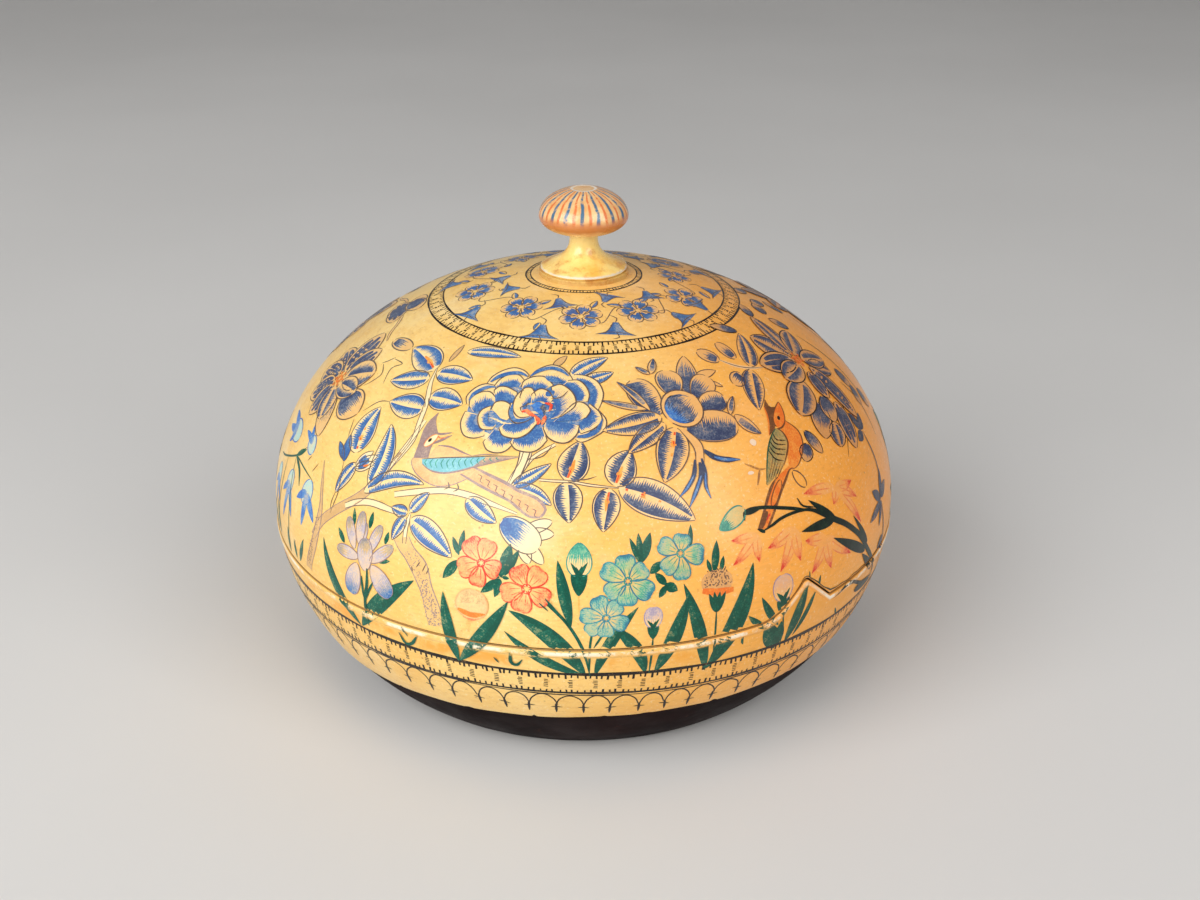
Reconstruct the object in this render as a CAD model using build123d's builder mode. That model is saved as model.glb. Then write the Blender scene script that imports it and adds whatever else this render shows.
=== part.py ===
"""Round lidded box of lacquered paper pulp with a turned wooden finial.

The body is one hollow form, moulded over a core and then sawn in two: the base keeps a pointed
tooth on its rim, and the lid keeps the notch that the tooth drops into, so that the lid goes on
one way round only. A ring glued inside the base rim keeps the lid in line. Both halves carry a
ground coat on the outside, and the finial's tenon is glued through the crown of the lid.

All lengths are in millimetres. The origin is on the table under the middle of the box, +Z is up
and the front of the box faces -Y.
"""

from build123d import *
from math import asin, acos, cos, degrees, radians, sin, sqrt
import os

# Moulded form: two half ellipses that meet at the widest ring
BODY_RADIUS = 75.0
WIDEST_HEIGHT = 40.0
DOME_RISE = 53.9
BOWL_DROP = 58.7
PULP_THICKNESS = 3.2
GROUND_THICKNESS = 0.5

# Foot
FLOOR_THICKNESS = 3.6
FOOT_EDGE_FILLET = 2.5
FLOOR_CORNER_FILLET = 9.0
FOOT_HOLLOW_RADIUS = 44.0
FOOT_HOLLOW_DEPTH = 1.0

# Saw cut, with its tooth
PARTING_HEIGHT = 37.4
KERF = 0.3
TOOTH_AZIMUTH = 39.2
TOOTH_HEIGHT = 7.2
TOOTH_LONG_FLANK = 9.0
TOOTH_SHORT_FLANK = 8.2
TOOTH_TIP_FILLET = 1.3
TOOTH_ROOT_FILLET = 11.5

# Ground coat on the base
GROUND_LOWER_EDGE = 17.1
RIM_BEAD_HEIGHT = 1.8
RIM_BEAD_PROUD = 0.3

# Locating collar
COLLAR_THICKNESS = 2.0
COLLAR_STAND = 8.0
COLLAR_SEAT_DEPTH = 8.0
COLLAR_CLEARANCE = 0.3
COLLAR_LEAD_IN = 0.8

# Finial: heights count from the crown of the dome
CAP_RADIUS = 10.35
CAP_WIDEST_HEIGHT = 13.3
CAP_DOME_RISE = 6.5
CAP_UNDERSIDE_DROP = 3.8
CAP_FLAT_RADIUS = 3.1
NECK_RADIUS = 3.3
NECK_BOTTOM_HEIGHT = 8.0
FOOT_FLARE_RADIUS = 10.0
FOOT_FLARE_HEIGHT = 1.5
FOOT_FLARE_LIP = 0.5
FOOT_GROOVE_RADIUS = 9.65
FOOT_BEAD_RADIUS = 10.4
FOOT_BEAD_HEIGHT = 0.6
TENON_RADIUS = 2.6
TENON_PROUD = 1.0
TENON_CLEARANCE = 0.05

# Values that follow from the sizes above
CROWN_HEIGHT = WIDEST_HEIGHT + DOME_RISE
WALL = PULP_THICKNESS + GROUND_THICKNESS
REACH = 2 * BODY_RADIUS + DOME_RISE + BOWL_DROP


def form_radius(height, inset):
    """Radius at a height of the form that lies inset below the outside."""
    half_height = (DOME_RISE if height > WIDEST_HEIGHT else BOWL_DROP) - inset
    return (BODY_RADIUS - inset) * sqrt(1 - ((height - WIDEST_HEIGHT) / half_height) ** 2)


def moulded_form(inset, floor, corner):
    """Solid form that lies inset below the outside, with a flat floor and a rounded floor edge."""
    bowl_angle = degrees(asin((WIDEST_HEIGHT - floor) / (BOWL_DROP - inset)))
    centre = (0, WIDEST_HEIGHT)
    with BuildPart() as form:
        with BuildSketch(Plane.XZ) as section:
            with BuildLine():
                bowl = EllipticalCenterArc(
                    centre, BODY_RADIUS - inset, BOWL_DROP - inset, -bowl_angle, arc_size=bowl_angle
                )
                dome = EllipticalCenterArc(
                    centre, BODY_RADIUS - inset, DOME_RISE - inset, 0, arc_size=90
                )
                Polyline(dome @ 1, (0, floor), bowl @ 0)
            make_face()
            fillet(section.vertices().sort_by(Axis.Y)[:2].sort_by(Axis.X)[-1], corner)
        revolve(axis=Axis.Z)
    return form.part


def below_the_cut(growth):
    """Everything below the saw cut, tooth included, grown by the given amount."""
    across = Vector(sin(radians(TOOTH_AZIMUTH)), -cos(radians(TOOTH_AZIMUTH)), 0)
    along = Vector(cos(radians(TOOTH_AZIMUTH)), sin(radians(TOOTH_AZIMUTH)), 0)
    tooth_plane = Plane(
        origin=across * BODY_RADIUS / 2 + Vector(0, 0, PARTING_HEIGHT), x_dir=along, z_dir=across
    )
    root = TOOTH_LONG_FLANK + TOOTH_ROOT_FILLET
    with BuildPart() as region:
        with BuildSketch(Plane.XY.offset(PARTING_HEIGHT + growth)):
            Circle(REACH)
        extrude(amount=-REACH)
        with BuildSketch(tooth_plane) as tooth:
            with BuildLine():
                Polyline(
                    (-root, -TOOTH_HEIGHT),
                    (-root, 0),
                    (-TOOTH_LONG_FLANK, 0),
                    (0, TOOTH_HEIGHT),
                    (TOOTH_SHORT_FLANK, 0),
                    (root, 0),
                    (root, -TOOTH_HEIGHT),
                    close=True,
                )
            make_face()
            by_height = tooth.vertices().sort_by(Axis.Y)
            fillet(by_height[-1], TOOTH_TIP_FILLET)
            rim_line = tooth.vertices().filter_by_position(Axis.Y, -0.01, 0.01).sort_by(Axis.X)
            fillet(rim_line[1], TOOTH_ROOT_FILLET)
            if growth > 0:
                offset(amount=growth)
        extrude(amount=BODY_RADIUS)
    return region.part


def slab(low, high):
    """A wide disc between two heights."""
    with BuildPart() as disc:
        with BuildSketch(Plane.XY.offset(low)):
            Circle(REACH)
        extrude(amount=high - low)
    return disc.part


OUTSIDE = moulded_form(0, 0, FOOT_EDGE_FILLET)
PULP_OUTSIDE = moulded_form(GROUND_THICKNESS, 0, FOOT_EDGE_FILLET)
CAVITY = moulded_form(WALL, FLOOR_THICKNESS, FLOOR_CORNER_FILLET)
BASE_REGION = below_the_cut(0)
BASE_REGION_AND_KERF = below_the_cut(KERF)


# Base bowl: the pulp below the cut, with a foot that stands on its outer ring
with BuildPart() as base_bowl:
    add(PULP_OUTSIDE)
    add(CAVITY, mode=Mode.SUBTRACT)
    add(BASE_REGION, mode=Mode.INTERSECT)
    with BuildSketch(Plane.XY):
        Circle(FOOT_HOLLOW_RADIUS)
    extrude(amount=FOOT_HOLLOW_DEPTH, mode=Mode.SUBTRACT)

# Ground coat on the base: from its lower edge up to the cut, tooth included, with a rim bead
bead_height = PARTING_HEIGHT - RIM_BEAD_HEIGHT / 2
with BuildPart() as base_ground:
    add(OUTSIDE)
    with BuildSketch(Plane.XZ):
        with Locations((form_radius(bead_height, 0), bead_height)):
            Ellipse(RIM_BEAD_PROUD, RIM_BEAD_HEIGHT / 2)
    revolve(axis=Axis.Z)
    add(PULP_OUTSIDE, mode=Mode.SUBTRACT)
    add(BASE_REGION, mode=Mode.INTERSECT)
    add(slab(-REACH, GROUND_LOWER_EDGE), mode=Mode.SUBTRACT)

# Locating collar: glued to the bowl below the cut, and stepped in above it to clear the lid
collar_top = PARTING_HEIGHT + COLLAR_STAND
collar_bottom = PARTING_HEIGHT - COLLAR_SEAT_DEPTH
lid_wall_radius = min(form_radius(collar_top, WALL), form_radius(PARTING_HEIGHT, WALL))
collar_outer = lid_wall_radius - COLLAR_CLEARANCE
collar_inner = min(collar_outer, form_radius(collar_bottom, WALL)) - COLLAR_THICKNESS
with BuildPart() as locating_collar:
    with BuildSketch(Plane.XY.offset(collar_bottom)):
        Circle(REACH)
    extrude(amount=COLLAR_SEAT_DEPTH)
    add(CAVITY, mode=Mode.INTERSECT)
    with BuildSketch(Plane.XY.offset(PARTING_HEIGHT)):
        Circle(collar_outer)
    extrude(amount=COLLAR_STAND)
    top_edge = locating_collar.edges().group_by(Axis.Z)[-1]
    fillet(top_edge, COLLAR_LEAD_IN)
    with BuildSketch(Plane.XY.offset(collar_bottom)):
        Circle(collar_inner)
    extrude(amount=COLLAR_SEAT_DEPTH + COLLAR_STAND, mode=Mode.SUBTRACT)

# Lid dome: the pulp above the cut, with the crown hole for the tenon
with BuildPart() as lid_dome:
    add(PULP_OUTSIDE)
    add(CAVITY, mode=Mode.SUBTRACT)
    add(BASE_REGION_AND_KERF, mode=Mode.SUBTRACT)
    with BuildSketch(Plane.XY.offset(WIDEST_HEIGHT)):
        Circle(TENON_RADIUS + TENON_CLEARANCE)
    extrude(amount=DOME_RISE, mode=Mode.SUBTRACT)

# Ground coat on the lid
with BuildPart() as lid_ground:
    add(OUTSIDE)
    add(PULP_OUTSIDE, mode=Mode.SUBTRACT)
    add(BASE_REGION_AND_KERF, mode=Mode.SUBTRACT)
    with BuildSketch(Plane.XY.offset(WIDEST_HEIGHT)):
        Circle(TENON_RADIUS + TENON_CLEARANCE)
    extrude(amount=DOME_RISE, mode=Mode.SUBTRACT)

# Finial: turned profile seated on the dome, with its tenon through the crown
cap_centre = (0, CROWN_HEIGHT + CAP_WIDEST_HEIGHT)
cap_flat_angle = degrees(acos(CAP_FLAT_RADIUS / CAP_RADIUS))
neck_bottom = (NECK_RADIUS, CROWN_HEIGHT + NECK_BOTTOM_HEIGHT)
flare_edge = (FOOT_FLARE_RADIUS, CROWN_HEIGHT + FOOT_FLARE_HEIGHT)
bead_top = CROWN_HEIGHT + FOOT_BEAD_HEIGHT
with BuildPart() as finial:
    with BuildSketch(Plane.XZ) as turned_profile:
        with BuildLine():
            cap_top = EllipticalCenterArc(
                cap_centre, CAP_RADIUS, CAP_DOME_RISE, 0, arc_size=cap_flat_angle
            )
            cap_underside = EllipticalCenterArc(
                (NECK_RADIUS, cap_centre[1]),
                CAP_RADIUS - NECK_RADIUS,
                CAP_UNDERSIDE_DROP,
                -90,
                arc_size=90,
            )
            neck = Line(cap_underside @ 0, neck_bottom)
            flare = Spline(neck_bottom, flare_edge, tangents=((0, -1), (1, -0.55)))
            Polyline(
                flare_edge,
                (FOOT_FLARE_RADIUS, flare_edge[1] - FOOT_FLARE_LIP),
                (FOOT_GROOVE_RADIUS, bead_top),
                (FOOT_BEAD_RADIUS, bead_top),
                (FOOT_BEAD_RADIUS, WIDEST_HEIGHT),
                (0, WIDEST_HEIGHT),
                (0, (cap_top @ 1).Y),
                cap_top @ 1,
            )
        make_face()
    revolve(axis=Axis.Z)
    add(OUTSIDE, mode=Mode.SUBTRACT)
    tenon_length = CROWN_HEIGHT + FOOT_FLARE_HEIGHT - (CROWN_HEIGHT - WALL - TENON_PROUD)
    with BuildSketch(Plane.XY.offset(CROWN_HEIGHT - WALL - TENON_PROUD)):
        Circle(TENON_RADIUS)
    extrude(amount=tenon_length)

os.makedirs("parts", exist_ok=True)
pieces = {
    "base_bowl": base_bowl,
    "base_ground": base_ground,
    "locating_collar": locating_collar,
    "lid_dome": lid_dome,
    "lid_ground": lid_ground,
    "finial": finial,
}
for name, piece in pieces.items():
    piece.part.label = name
    export_step(piece.part, f"parts/{name}.step")
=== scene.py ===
"""Looks of a round lidded box of lacquered paper pulp with a painted ground and a turned finial.

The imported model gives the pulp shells, the collar and the finial. This file adds the ground coat on
both halves, the flowers, birds and borders painted on it, the finishes, and a plain studio.
Lengths are in millimetres and angles in radians, but meshes and the heights that finishes read
are in metres, and the places of cards and stretches are in degrees.
The front of the box faces -Y, and azimuths turn from there towards +X.
"""

from __future__ import annotations

import logging
import math
from dataclasses import dataclass, field
from enum import Enum
from typing import Iterable, Sequence

import bpy
import numpy as np
from mathutils import Matrix, Vector
from numpy.typing import NDArray

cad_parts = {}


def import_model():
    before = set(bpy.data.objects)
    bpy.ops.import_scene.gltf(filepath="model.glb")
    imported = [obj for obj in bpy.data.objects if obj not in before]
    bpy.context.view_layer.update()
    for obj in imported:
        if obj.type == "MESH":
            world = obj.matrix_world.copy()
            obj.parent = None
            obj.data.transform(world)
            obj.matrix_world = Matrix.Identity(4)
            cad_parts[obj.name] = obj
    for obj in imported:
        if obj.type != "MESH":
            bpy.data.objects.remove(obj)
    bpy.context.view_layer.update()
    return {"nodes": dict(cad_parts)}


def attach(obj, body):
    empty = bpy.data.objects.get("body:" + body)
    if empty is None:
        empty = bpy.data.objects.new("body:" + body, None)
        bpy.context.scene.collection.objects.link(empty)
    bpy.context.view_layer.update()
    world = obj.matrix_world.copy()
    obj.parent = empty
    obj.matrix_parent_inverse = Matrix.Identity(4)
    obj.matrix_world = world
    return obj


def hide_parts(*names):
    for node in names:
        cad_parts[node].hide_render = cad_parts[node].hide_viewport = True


Array = NDArray[np.float64]
LOG = logging.getLogger("papier_mache_box")
Point = tuple[float, float]
METRES = 0.001
TOOTH_SPACING = 0.46


class Half(Enum):
    """The two halves of the box, named as the bodies that they ride on."""

    BASE = "base"
    LID = "lid"


def srgb(red: int, green: int, blue: int) -> tuple[float, float, float, float]:
    """Turn a colour in 0..255 display values into linear light.

    Args:
        red: display value of red.
        green: display value of green.
        blue: display value of blue.

    Returns:
        Linear red, green and blue, and an alpha of 1.
    """
    linear = [
        c / 12.92 if c <= 0.04045 else ((c + 0.055) / 1.055) ** 2.4
        for c in (red / 255, green / 255, blue / 255)
    ]
    return (linear[0], linear[1], linear[2], 1.0)


def smooth_step(value: Array, low: float, high: float) -> Array:
    """Rise smoothly from 0 at low to 1 at high.

    Args:
        value: where to read the step.
        low: where it leaves 0.
        high: where it reaches 1.

    Returns:
        The step at each value.
    """
    share = np.clip((value - low) / (high - low), 0.0, 1.0)
    return share * share * (3.0 - 2.0 * share)


def turned_from(azimuth: Array, start: float) -> Array:
    """Give how far azimuths lie from a start, between half a turn back and half a turn on."""
    return (azimuth - start + np.pi) % (2 * np.pi) - np.pi


# ---------------------------------------------------------------- form of the box


@dataclass(frozen=True)
class MouldedForm:
    """Outside of the box: two half ellipses turned about the upright axis, a little uneven."""

    radius: float = 75.0
    widest: float = 40.0
    dome_rise: float = 53.9
    bowl_drop: float = 58.7
    unevenness: float = 0.13

    def half_height(self, up: Array) -> Array:
        """Give the half height of the ellipse that applies above or below the widest ring."""
        return np.where(up > 0, self.dome_rise, self.bowl_drop)

    def radius_at(self, height: Array) -> Array:
        """Give the radius of the form at a height above the table."""
        up = np.asarray(height, float) - self.widest
        return self.radius * np.sqrt(np.clip(1 - (up / self.half_height(up)) ** 2, 0, 1))

    def hand_error(self, azimuth: Array, polar: Array) -> Array:
        """Slow waves that a hand-laid coat has, calm at the crown and at the foot.

        Args:
            azimuth: where around the box.
            polar: angle down from the crown.

        Returns:
            Height of the coat above the true form.
        """
        waves = (
            0.55 * np.sin(2 * azimuth + 0.7) * np.sin(2.6 * polar)
            + 0.3 * np.sin(5 * azimuth + 2.0 * np.sin(2.2 * polar))
            + 0.25 * np.sin(9 * azimuth + 1.3) * np.cos(7.0 * polar)
        )
        calm = smooth_step(polar, 0.24, 0.7) * (1 - smooth_step(polar, 1.72, 1.86))
        return self.unevenness * waves * calm

    def point(self, azimuth: Array, polar: Array, lift: Array | float = 0.0) -> Array:
        """Place points on the form.

        Args:
            azimuth: where around the box.
            polar: angle down from the crown, seen from the middle of the widest ring.
            lift: distance outwards from the true form.

        Returns:
            One row of x, y and z for each point.
        """
        azimuth, polar = np.broadcast_arrays(azimuth, polar)
        half = self.half_height(np.cos(polar))
        reach = 1 / np.sqrt((np.sin(polar) / self.radius) ** 2 + (np.cos(polar) / half) ** 2)
        out, up = reach * np.sin(polar), reach * np.cos(polar)
        slope_out, slope_up = out / self.radius**2, up / half**2
        length = np.hypot(slope_out, slope_up)
        out = out + slope_out / length * lift
        up = up + slope_up / length * lift
        return np.stack([out * np.sin(azimuth), -out * np.cos(azimuth), self.widest + up], axis=-1)

    def polar_of(self, height: Array) -> Array:
        """Give the polar angle at which the form reaches a height."""
        return np.arctan2(self.radius_at(height), np.asarray(height, float) - self.widest)


@dataclass(frozen=True)
class SawCut:
    """The cut between the halves, with its pointed tooth."""

    form: MouldedForm
    parting: float = 37.4
    kerf: float = 0.3
    azimuth: float = math.radians(39.2)
    rise: float = 7.2
    long_flank: float = 9.0
    short_flank: float = 8.2
    tip_round: float = 1.3
    root_round: float = 11.5

    def growth(self, half: Half) -> float:
        """Give how far the cut stands above the base's own rim."""
        return self.kerf if half is Half.LID else 0.0

    def above_parting(self, across: Array, growth: float) -> Array:
        """Height of the cut line above the parting.

        Args:
            across: distance from the tooth's tip along the rim, to the right seen from outside.
            growth: how far the line is moved out from the base's rim.

        Returns:
            Height at each distance.
        """
        left = np.array([-self.rise, self.long_flank]) / math.hypot(self.rise, self.long_flank)
        right = np.array([self.rise, self.short_flank]) / math.hypot(self.rise, self.short_flank)
        tip = np.array([0.0, self.rise])
        round_centre = np.linalg.solve(
            np.array([left, right]), [left @ tip - self.tip_round, right @ tip - self.tip_round]
        )
        root_x = (left @ tip + self.root_round - left[1] * self.root_round) / left[0]
        tip_radius, root_radius = self.tip_round + growth, self.root_round - growth
        on_left = (left @ tip + growth - left[0] * across) / left[1]
        on_right = (right @ tip + growth - right[0] * across) / right[1]
        on_tip = round_centre[1] + np.sqrt(
            np.clip(tip_radius**2 - (across - round_centre[0]) ** 2, 0, None)
        )
        on_root = self.root_round - np.sqrt(
            np.clip(root_radius**2 - (across - root_x) ** 2, 0, None)
        )
        return np.select(
            [
                across < root_x, across < root_x - left[0] * root_radius,
                across < round_centre[0] + left[0] * tip_radius,
                across < round_centre[0] + right[0] * tip_radius,
            ],
            [np.full_like(across, growth), on_root, on_left, on_tip], np.maximum(on_right, growth),
        )

    def height(self, azimuth: Array, half: Half) -> Array:
        """Height of one half's cut edge above the table, all round.

        Args:
            azimuth: where around the box.
            half: the half whose edge is asked for.

        Returns:
            Height at each azimuth.
        """
        turn = np.clip(turned_from(np.asarray(azimuth, float), self.azimuth), -1.0, 1.0)
        height = np.full_like(turn, self.parting)
        for _ in range(4):
            across = self.form.radius_at(height) * np.sin(turn)
            height = self.parting + self.above_parting(across, self.growth(half))
        return height

    def polar(self, azimuth: Array, half: Half) -> Array:
        """Give the polar angle of one half's cut edge, all round."""
        return self.form.polar_of(self.height(azimuth, half))


@dataclass(frozen=True)
class CoatSurface:
    """Outer face of the ground coat, with its rounded cut edges and the bead under the rim."""

    form: MouldedForm
    cut: SawCut
    edge_round: float = 0.28
    bead_height: float = 1.8
    bead_proud: float = 0.3
    arc: float = 75.0
    stain_reach: float = 8.0

    def lift(self, azimuth: Array, polar: Array, half: Half) -> Array:
        """Height of the coat above the true form.

        Args:
            azimuth: where around the box.
            polar: angle down from the crown.
            half: the half that the coat is on.

        Returns:
            Height at each point.
        """
        away = self.arc * np.abs(polar - self.cut.polar(azimuth, half))
        lift = self.form.hand_error(azimuth, polar)
        near = np.clip(1 - away / self.edge_round, 0, 1)
        lift = lift - self.edge_round * (1 - np.sqrt(1 - near**2))
        if half is Half.BASE:
            middle = (away - self.bead_height / 2) / (self.bead_height / 2)
            lift = lift + self.bead_proud * np.sqrt(np.clip(1 - middle**2, 0, 1))
        return lift

    def under(self, azimuth: Array, polar: Array, half: Half) -> Array:
        """Give how far points lie below their own cut edge, as far as stains reach."""
        down = self.arc * (polar - self.cut.polar(azimuth, half))
        return np.clip(down, -self.stain_reach, self.stain_reach)

    def point(self, azimuth: Array, polar: Array, half: Half, lift: float = 0.0) -> Array:
        """Place points on the coat.

        Args:
            azimuth: where around the box.
            polar: angle down from the crown.
            half: the half that the coat is on.
            lift: distance above the coat.

        Returns:
            One row of x, y and z for each point.
        """
        return self.form.point(azimuth, polar, self.lift(azimuth, polar, half) + lift)


def make_mesh(
    name: str, points: Array, faces: Sequence[Sequence[int]], sharp_above: float = 35.0,
    values: dict[str, Array] | None = None,
) -> bpy.types.Object:
    """Make a smooth-shaded mesh object.

    Args:
        name: name of the piece.
        points: rows of x, y and z in millimetres.
        faces: corner numbers of each face.
        sharp_above: angle in degrees above which an edge stays sharp.
        values: numbers that each point carries, by name.

    Returns:
        The new object, linked to the scene.
    """
    mesh = bpy.data.meshes.new(name)
    mesh.from_pydata((points * METRES).tolist(), [], [list(map(int, f)) for f in faces])
    for key, numbers in (values or {}).items():
        layer = mesh.attributes.new(key, "FLOAT", "POINT")
        layer.data.foreach_set("value", np.asarray(numbers, np.float32))
    mesh.shade_smooth()
    mesh.set_sharp_from_angle(angle=math.radians(sharp_above))
    mesh.update()
    piece = bpy.data.objects.new(name, mesh)
    bpy.context.scene.collection.objects.link(piece)
    return piece


def ring_faces(rows: int, columns: int) -> list[tuple[int, int, int, int]]:
    """Faces of a closed tube: rows follow each other round the section, columns round the box.

    Args:
        rows: number of rings, the last of which joins the first.
        columns: number of points on each ring.

    Returns:
        Corner numbers, wound so that the first rows face outwards.
    """
    faces = []
    for row in range(rows):
        here, below = row * columns, (row + 1) % rows * columns
        for column in range(columns):
            after = (column + 1) % columns
            faces.append((here + column, below + column, below + after, here + after))
    return faces


@dataclass
class GroundCoat:
    """The two skins of painted ground, one on each half."""

    surface: CoatSurface
    thickness: float = 0.45
    hole_radius: float = 2.65
    lower_edge: float = 17.1
    sag: float = 3.2
    sag_azimuth: float = math.radians(-58.0)
    sag_spread: float = 0.62
    chip_depth: float = 0.4
    fixed_polar: float = math.radians(80.0)
    tooth_spread: float = math.radians(17.0)
    below_tooth: float = 35.4
    turned_in: float = 0.1
    coarse_step: float = 1.5
    fine_step: float = 0.25
    fine_reach: float = 16.75
    crease: float = 0.003
    bead_rows: tuple[float, ...] = (
        0.0, 0.02, 0.08, 0.2, 0.4, 0.65, 0.9, 1.15, 1.4, 1.6, 1.74, 1.8, 1.9
    )
    chips: tuple[tuple[float, float, float], ...] = (
        (-52.0, 1.3, 1.2), (-37.0, 0.5, 0.8), (-21.5, 0.8, 0.7), (-9.0, 0.5, 1.4), (3.5, 0.6, 0.6),
        (11.0, 1.2, 0.5), (24.0, 0.7, 1.1), (41.0, 0.9, 0.6), (63.0, 1.4, 1.0), (88.0, 0.8, 0.9),
        (121.0, 1.2, 0.8), (150.0, 0.7, 1.3), (177.0, 1.5, 0.7), (203.0, 0.6, 0.9),
        (236.0, 1.1, 1.1), (262.0, 0.8, 0.7), (284.0, 1.3, 0.9),
    )

    def columns(self) -> Array:
        """Give the azimuths of the mesh columns, close together at the tooth."""
        cut = self.surface.cut
        coarse = np.radians(np.arange(0.0, 360.0, self.coarse_step))
        coarse = coarse[np.abs(turned_from(coarse, cut.azimuth)) > self.tooth_spread]
        rim = float(cut.form.radius_at(np.array(cut.parting)))
        foot = math.asin(cut.short_flank / rim)
        last = self.fine_reach + self.fine_step / 2
        fine = np.radians(np.arange(-self.fine_reach, last, self.fine_step))
        foot_columns = [0.0, foot, foot - self.crease, foot + self.crease]
        fine = np.unique(np.concatenate([fine, foot_columns]))
        return np.unique(np.concatenate([coarse, fine + cut.azimuth]) % (2 * np.pi))

    def skin(
        self, half: Half, azimuth: Array, rows: list[Array], under: list[Array], inner: list[Array]
    ) -> bpy.types.Object:
        """Close a skin with the rows of its inner face.

        Args:
            half: the half that it is on.
            azimuth: the azimuth of each column.
            rows: points of its outer rows.
            under: how far each of those points lies below the cut edge.
            inner: polar angles of its inner rows.

        Returns:
            The skin as a closed shell.
        """
        rows = rows + [self.surface.form.point(azimuth, polar, -self.thickness) for polar in inner]
        reach = self.surface.stain_reach if half is Half.BASE else -self.surface.stain_reach
        under = under + [np.full_like(azimuth, reach)] * len(inner)
        return make_mesh(
            f"{half.value}_painted_ground", np.concatenate(rows),
            ring_faces(len(rows), len(azimuth)), values={"under": np.concatenate(under)},
        )

    def lid(self) -> bpy.types.Object:
        """Make the lid's skin, from the finial's hole down to the cut.

        Returns:
            The skin as a closed shell.
        """
        surface, fixed = self.surface, self.fixed_polar
        azimuth = self.columns()
        level = np.zeros_like(azimuth)
        top = float(np.arctan2(self.hole_radius, surface.form.dome_rise))
        cut = surface.cut.polar(azimuth, Half.LID)
        outer = [level + polar for polar in np.linspace(top, fixed, 54)]
        for share in (*np.linspace(0.08, 0.92, 11), 0.965, 0.985):
            outer.append(fixed + (cut - fixed) * share)
        outer += [cut - short / surface.arc for short in (0.2, 0.08, 0.02, 0.0)]
        inner = [fixed + (cut - fixed) * share for share in (1.0, *np.linspace(0.9, 0.0, 10))]
        inner += [level + polar for polar in np.linspace(fixed, top, 27)[1:]]
        rows = [surface.point(azimuth, polar, Half.LID) for polar in outer]
        under = [surface.under(azimuth, polar, Half.LID) for polar in outer]
        return self.skin(Half.LID, azimuth, rows, under, inner)

    def edge_height(self, azimuth: Array) -> Array:
        """Height of the base skin's lower edge above the table, with its sag and chips."""
        height = self.lower_edge + 0.16 * np.sin(7 * azimuth) + 0.1 * np.sin(23 * azimuth + 1.0)
        turn = turned_from(azimuth, self.sag_azimuth)
        height = height - self.sag * np.exp(-((turn / self.sag_spread) ** 2))
        for where, width, depth in self.chips:
            across = self.surface.arc * turned_from(azimuth, math.radians(where)) / width
            height = height + self.chip_depth * depth * np.exp(-(across**4))
        return height

    def base(self) -> bpy.types.Object:
        """Make the base's skin, from the cut down to its chipped lower edge.

        Returns:
            The skin as a closed shell.
        """
        surface, form = self.surface, self.surface.form
        every_half = np.radians(np.arange(0.0, 360.0, 0.5))
        azimuth = np.unique(np.concatenate([self.columns(), every_half]))
        cut = surface.cut.polar(azimuth, Half.BASE)
        edge = form.polar_of(self.edge_height(azimuth))
        rows = [
            surface.point(azimuth, cut + down / surface.arc, Half.BASE) for down in self.bead_rows
        ]
        under = [np.full_like(azimuth, down) for down in self.bead_rows]
        low = float(form.polar_of(np.array(self.below_tooth)))
        start = np.maximum(cut + 1.95 / surface.arc, low - 0.02)
        for share in np.linspace(0.0, 1.0, 22):
            polar = start + (edge - start) * share
            lift = -self.turned_in if share == 1.0 else 0.0
            rows.append(surface.point(azimuth, polar, Half.BASE, lift))
            under.append(surface.under(azimuth, polar, Half.BASE))
        inner = [cut + (edge - cut) * share for share in np.linspace(1.0, 0.0, 12)]
        return self.skin(Half.BASE, azimuth, rows, under, inner)


# ---------------------------------------------------------------- node helpers


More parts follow.
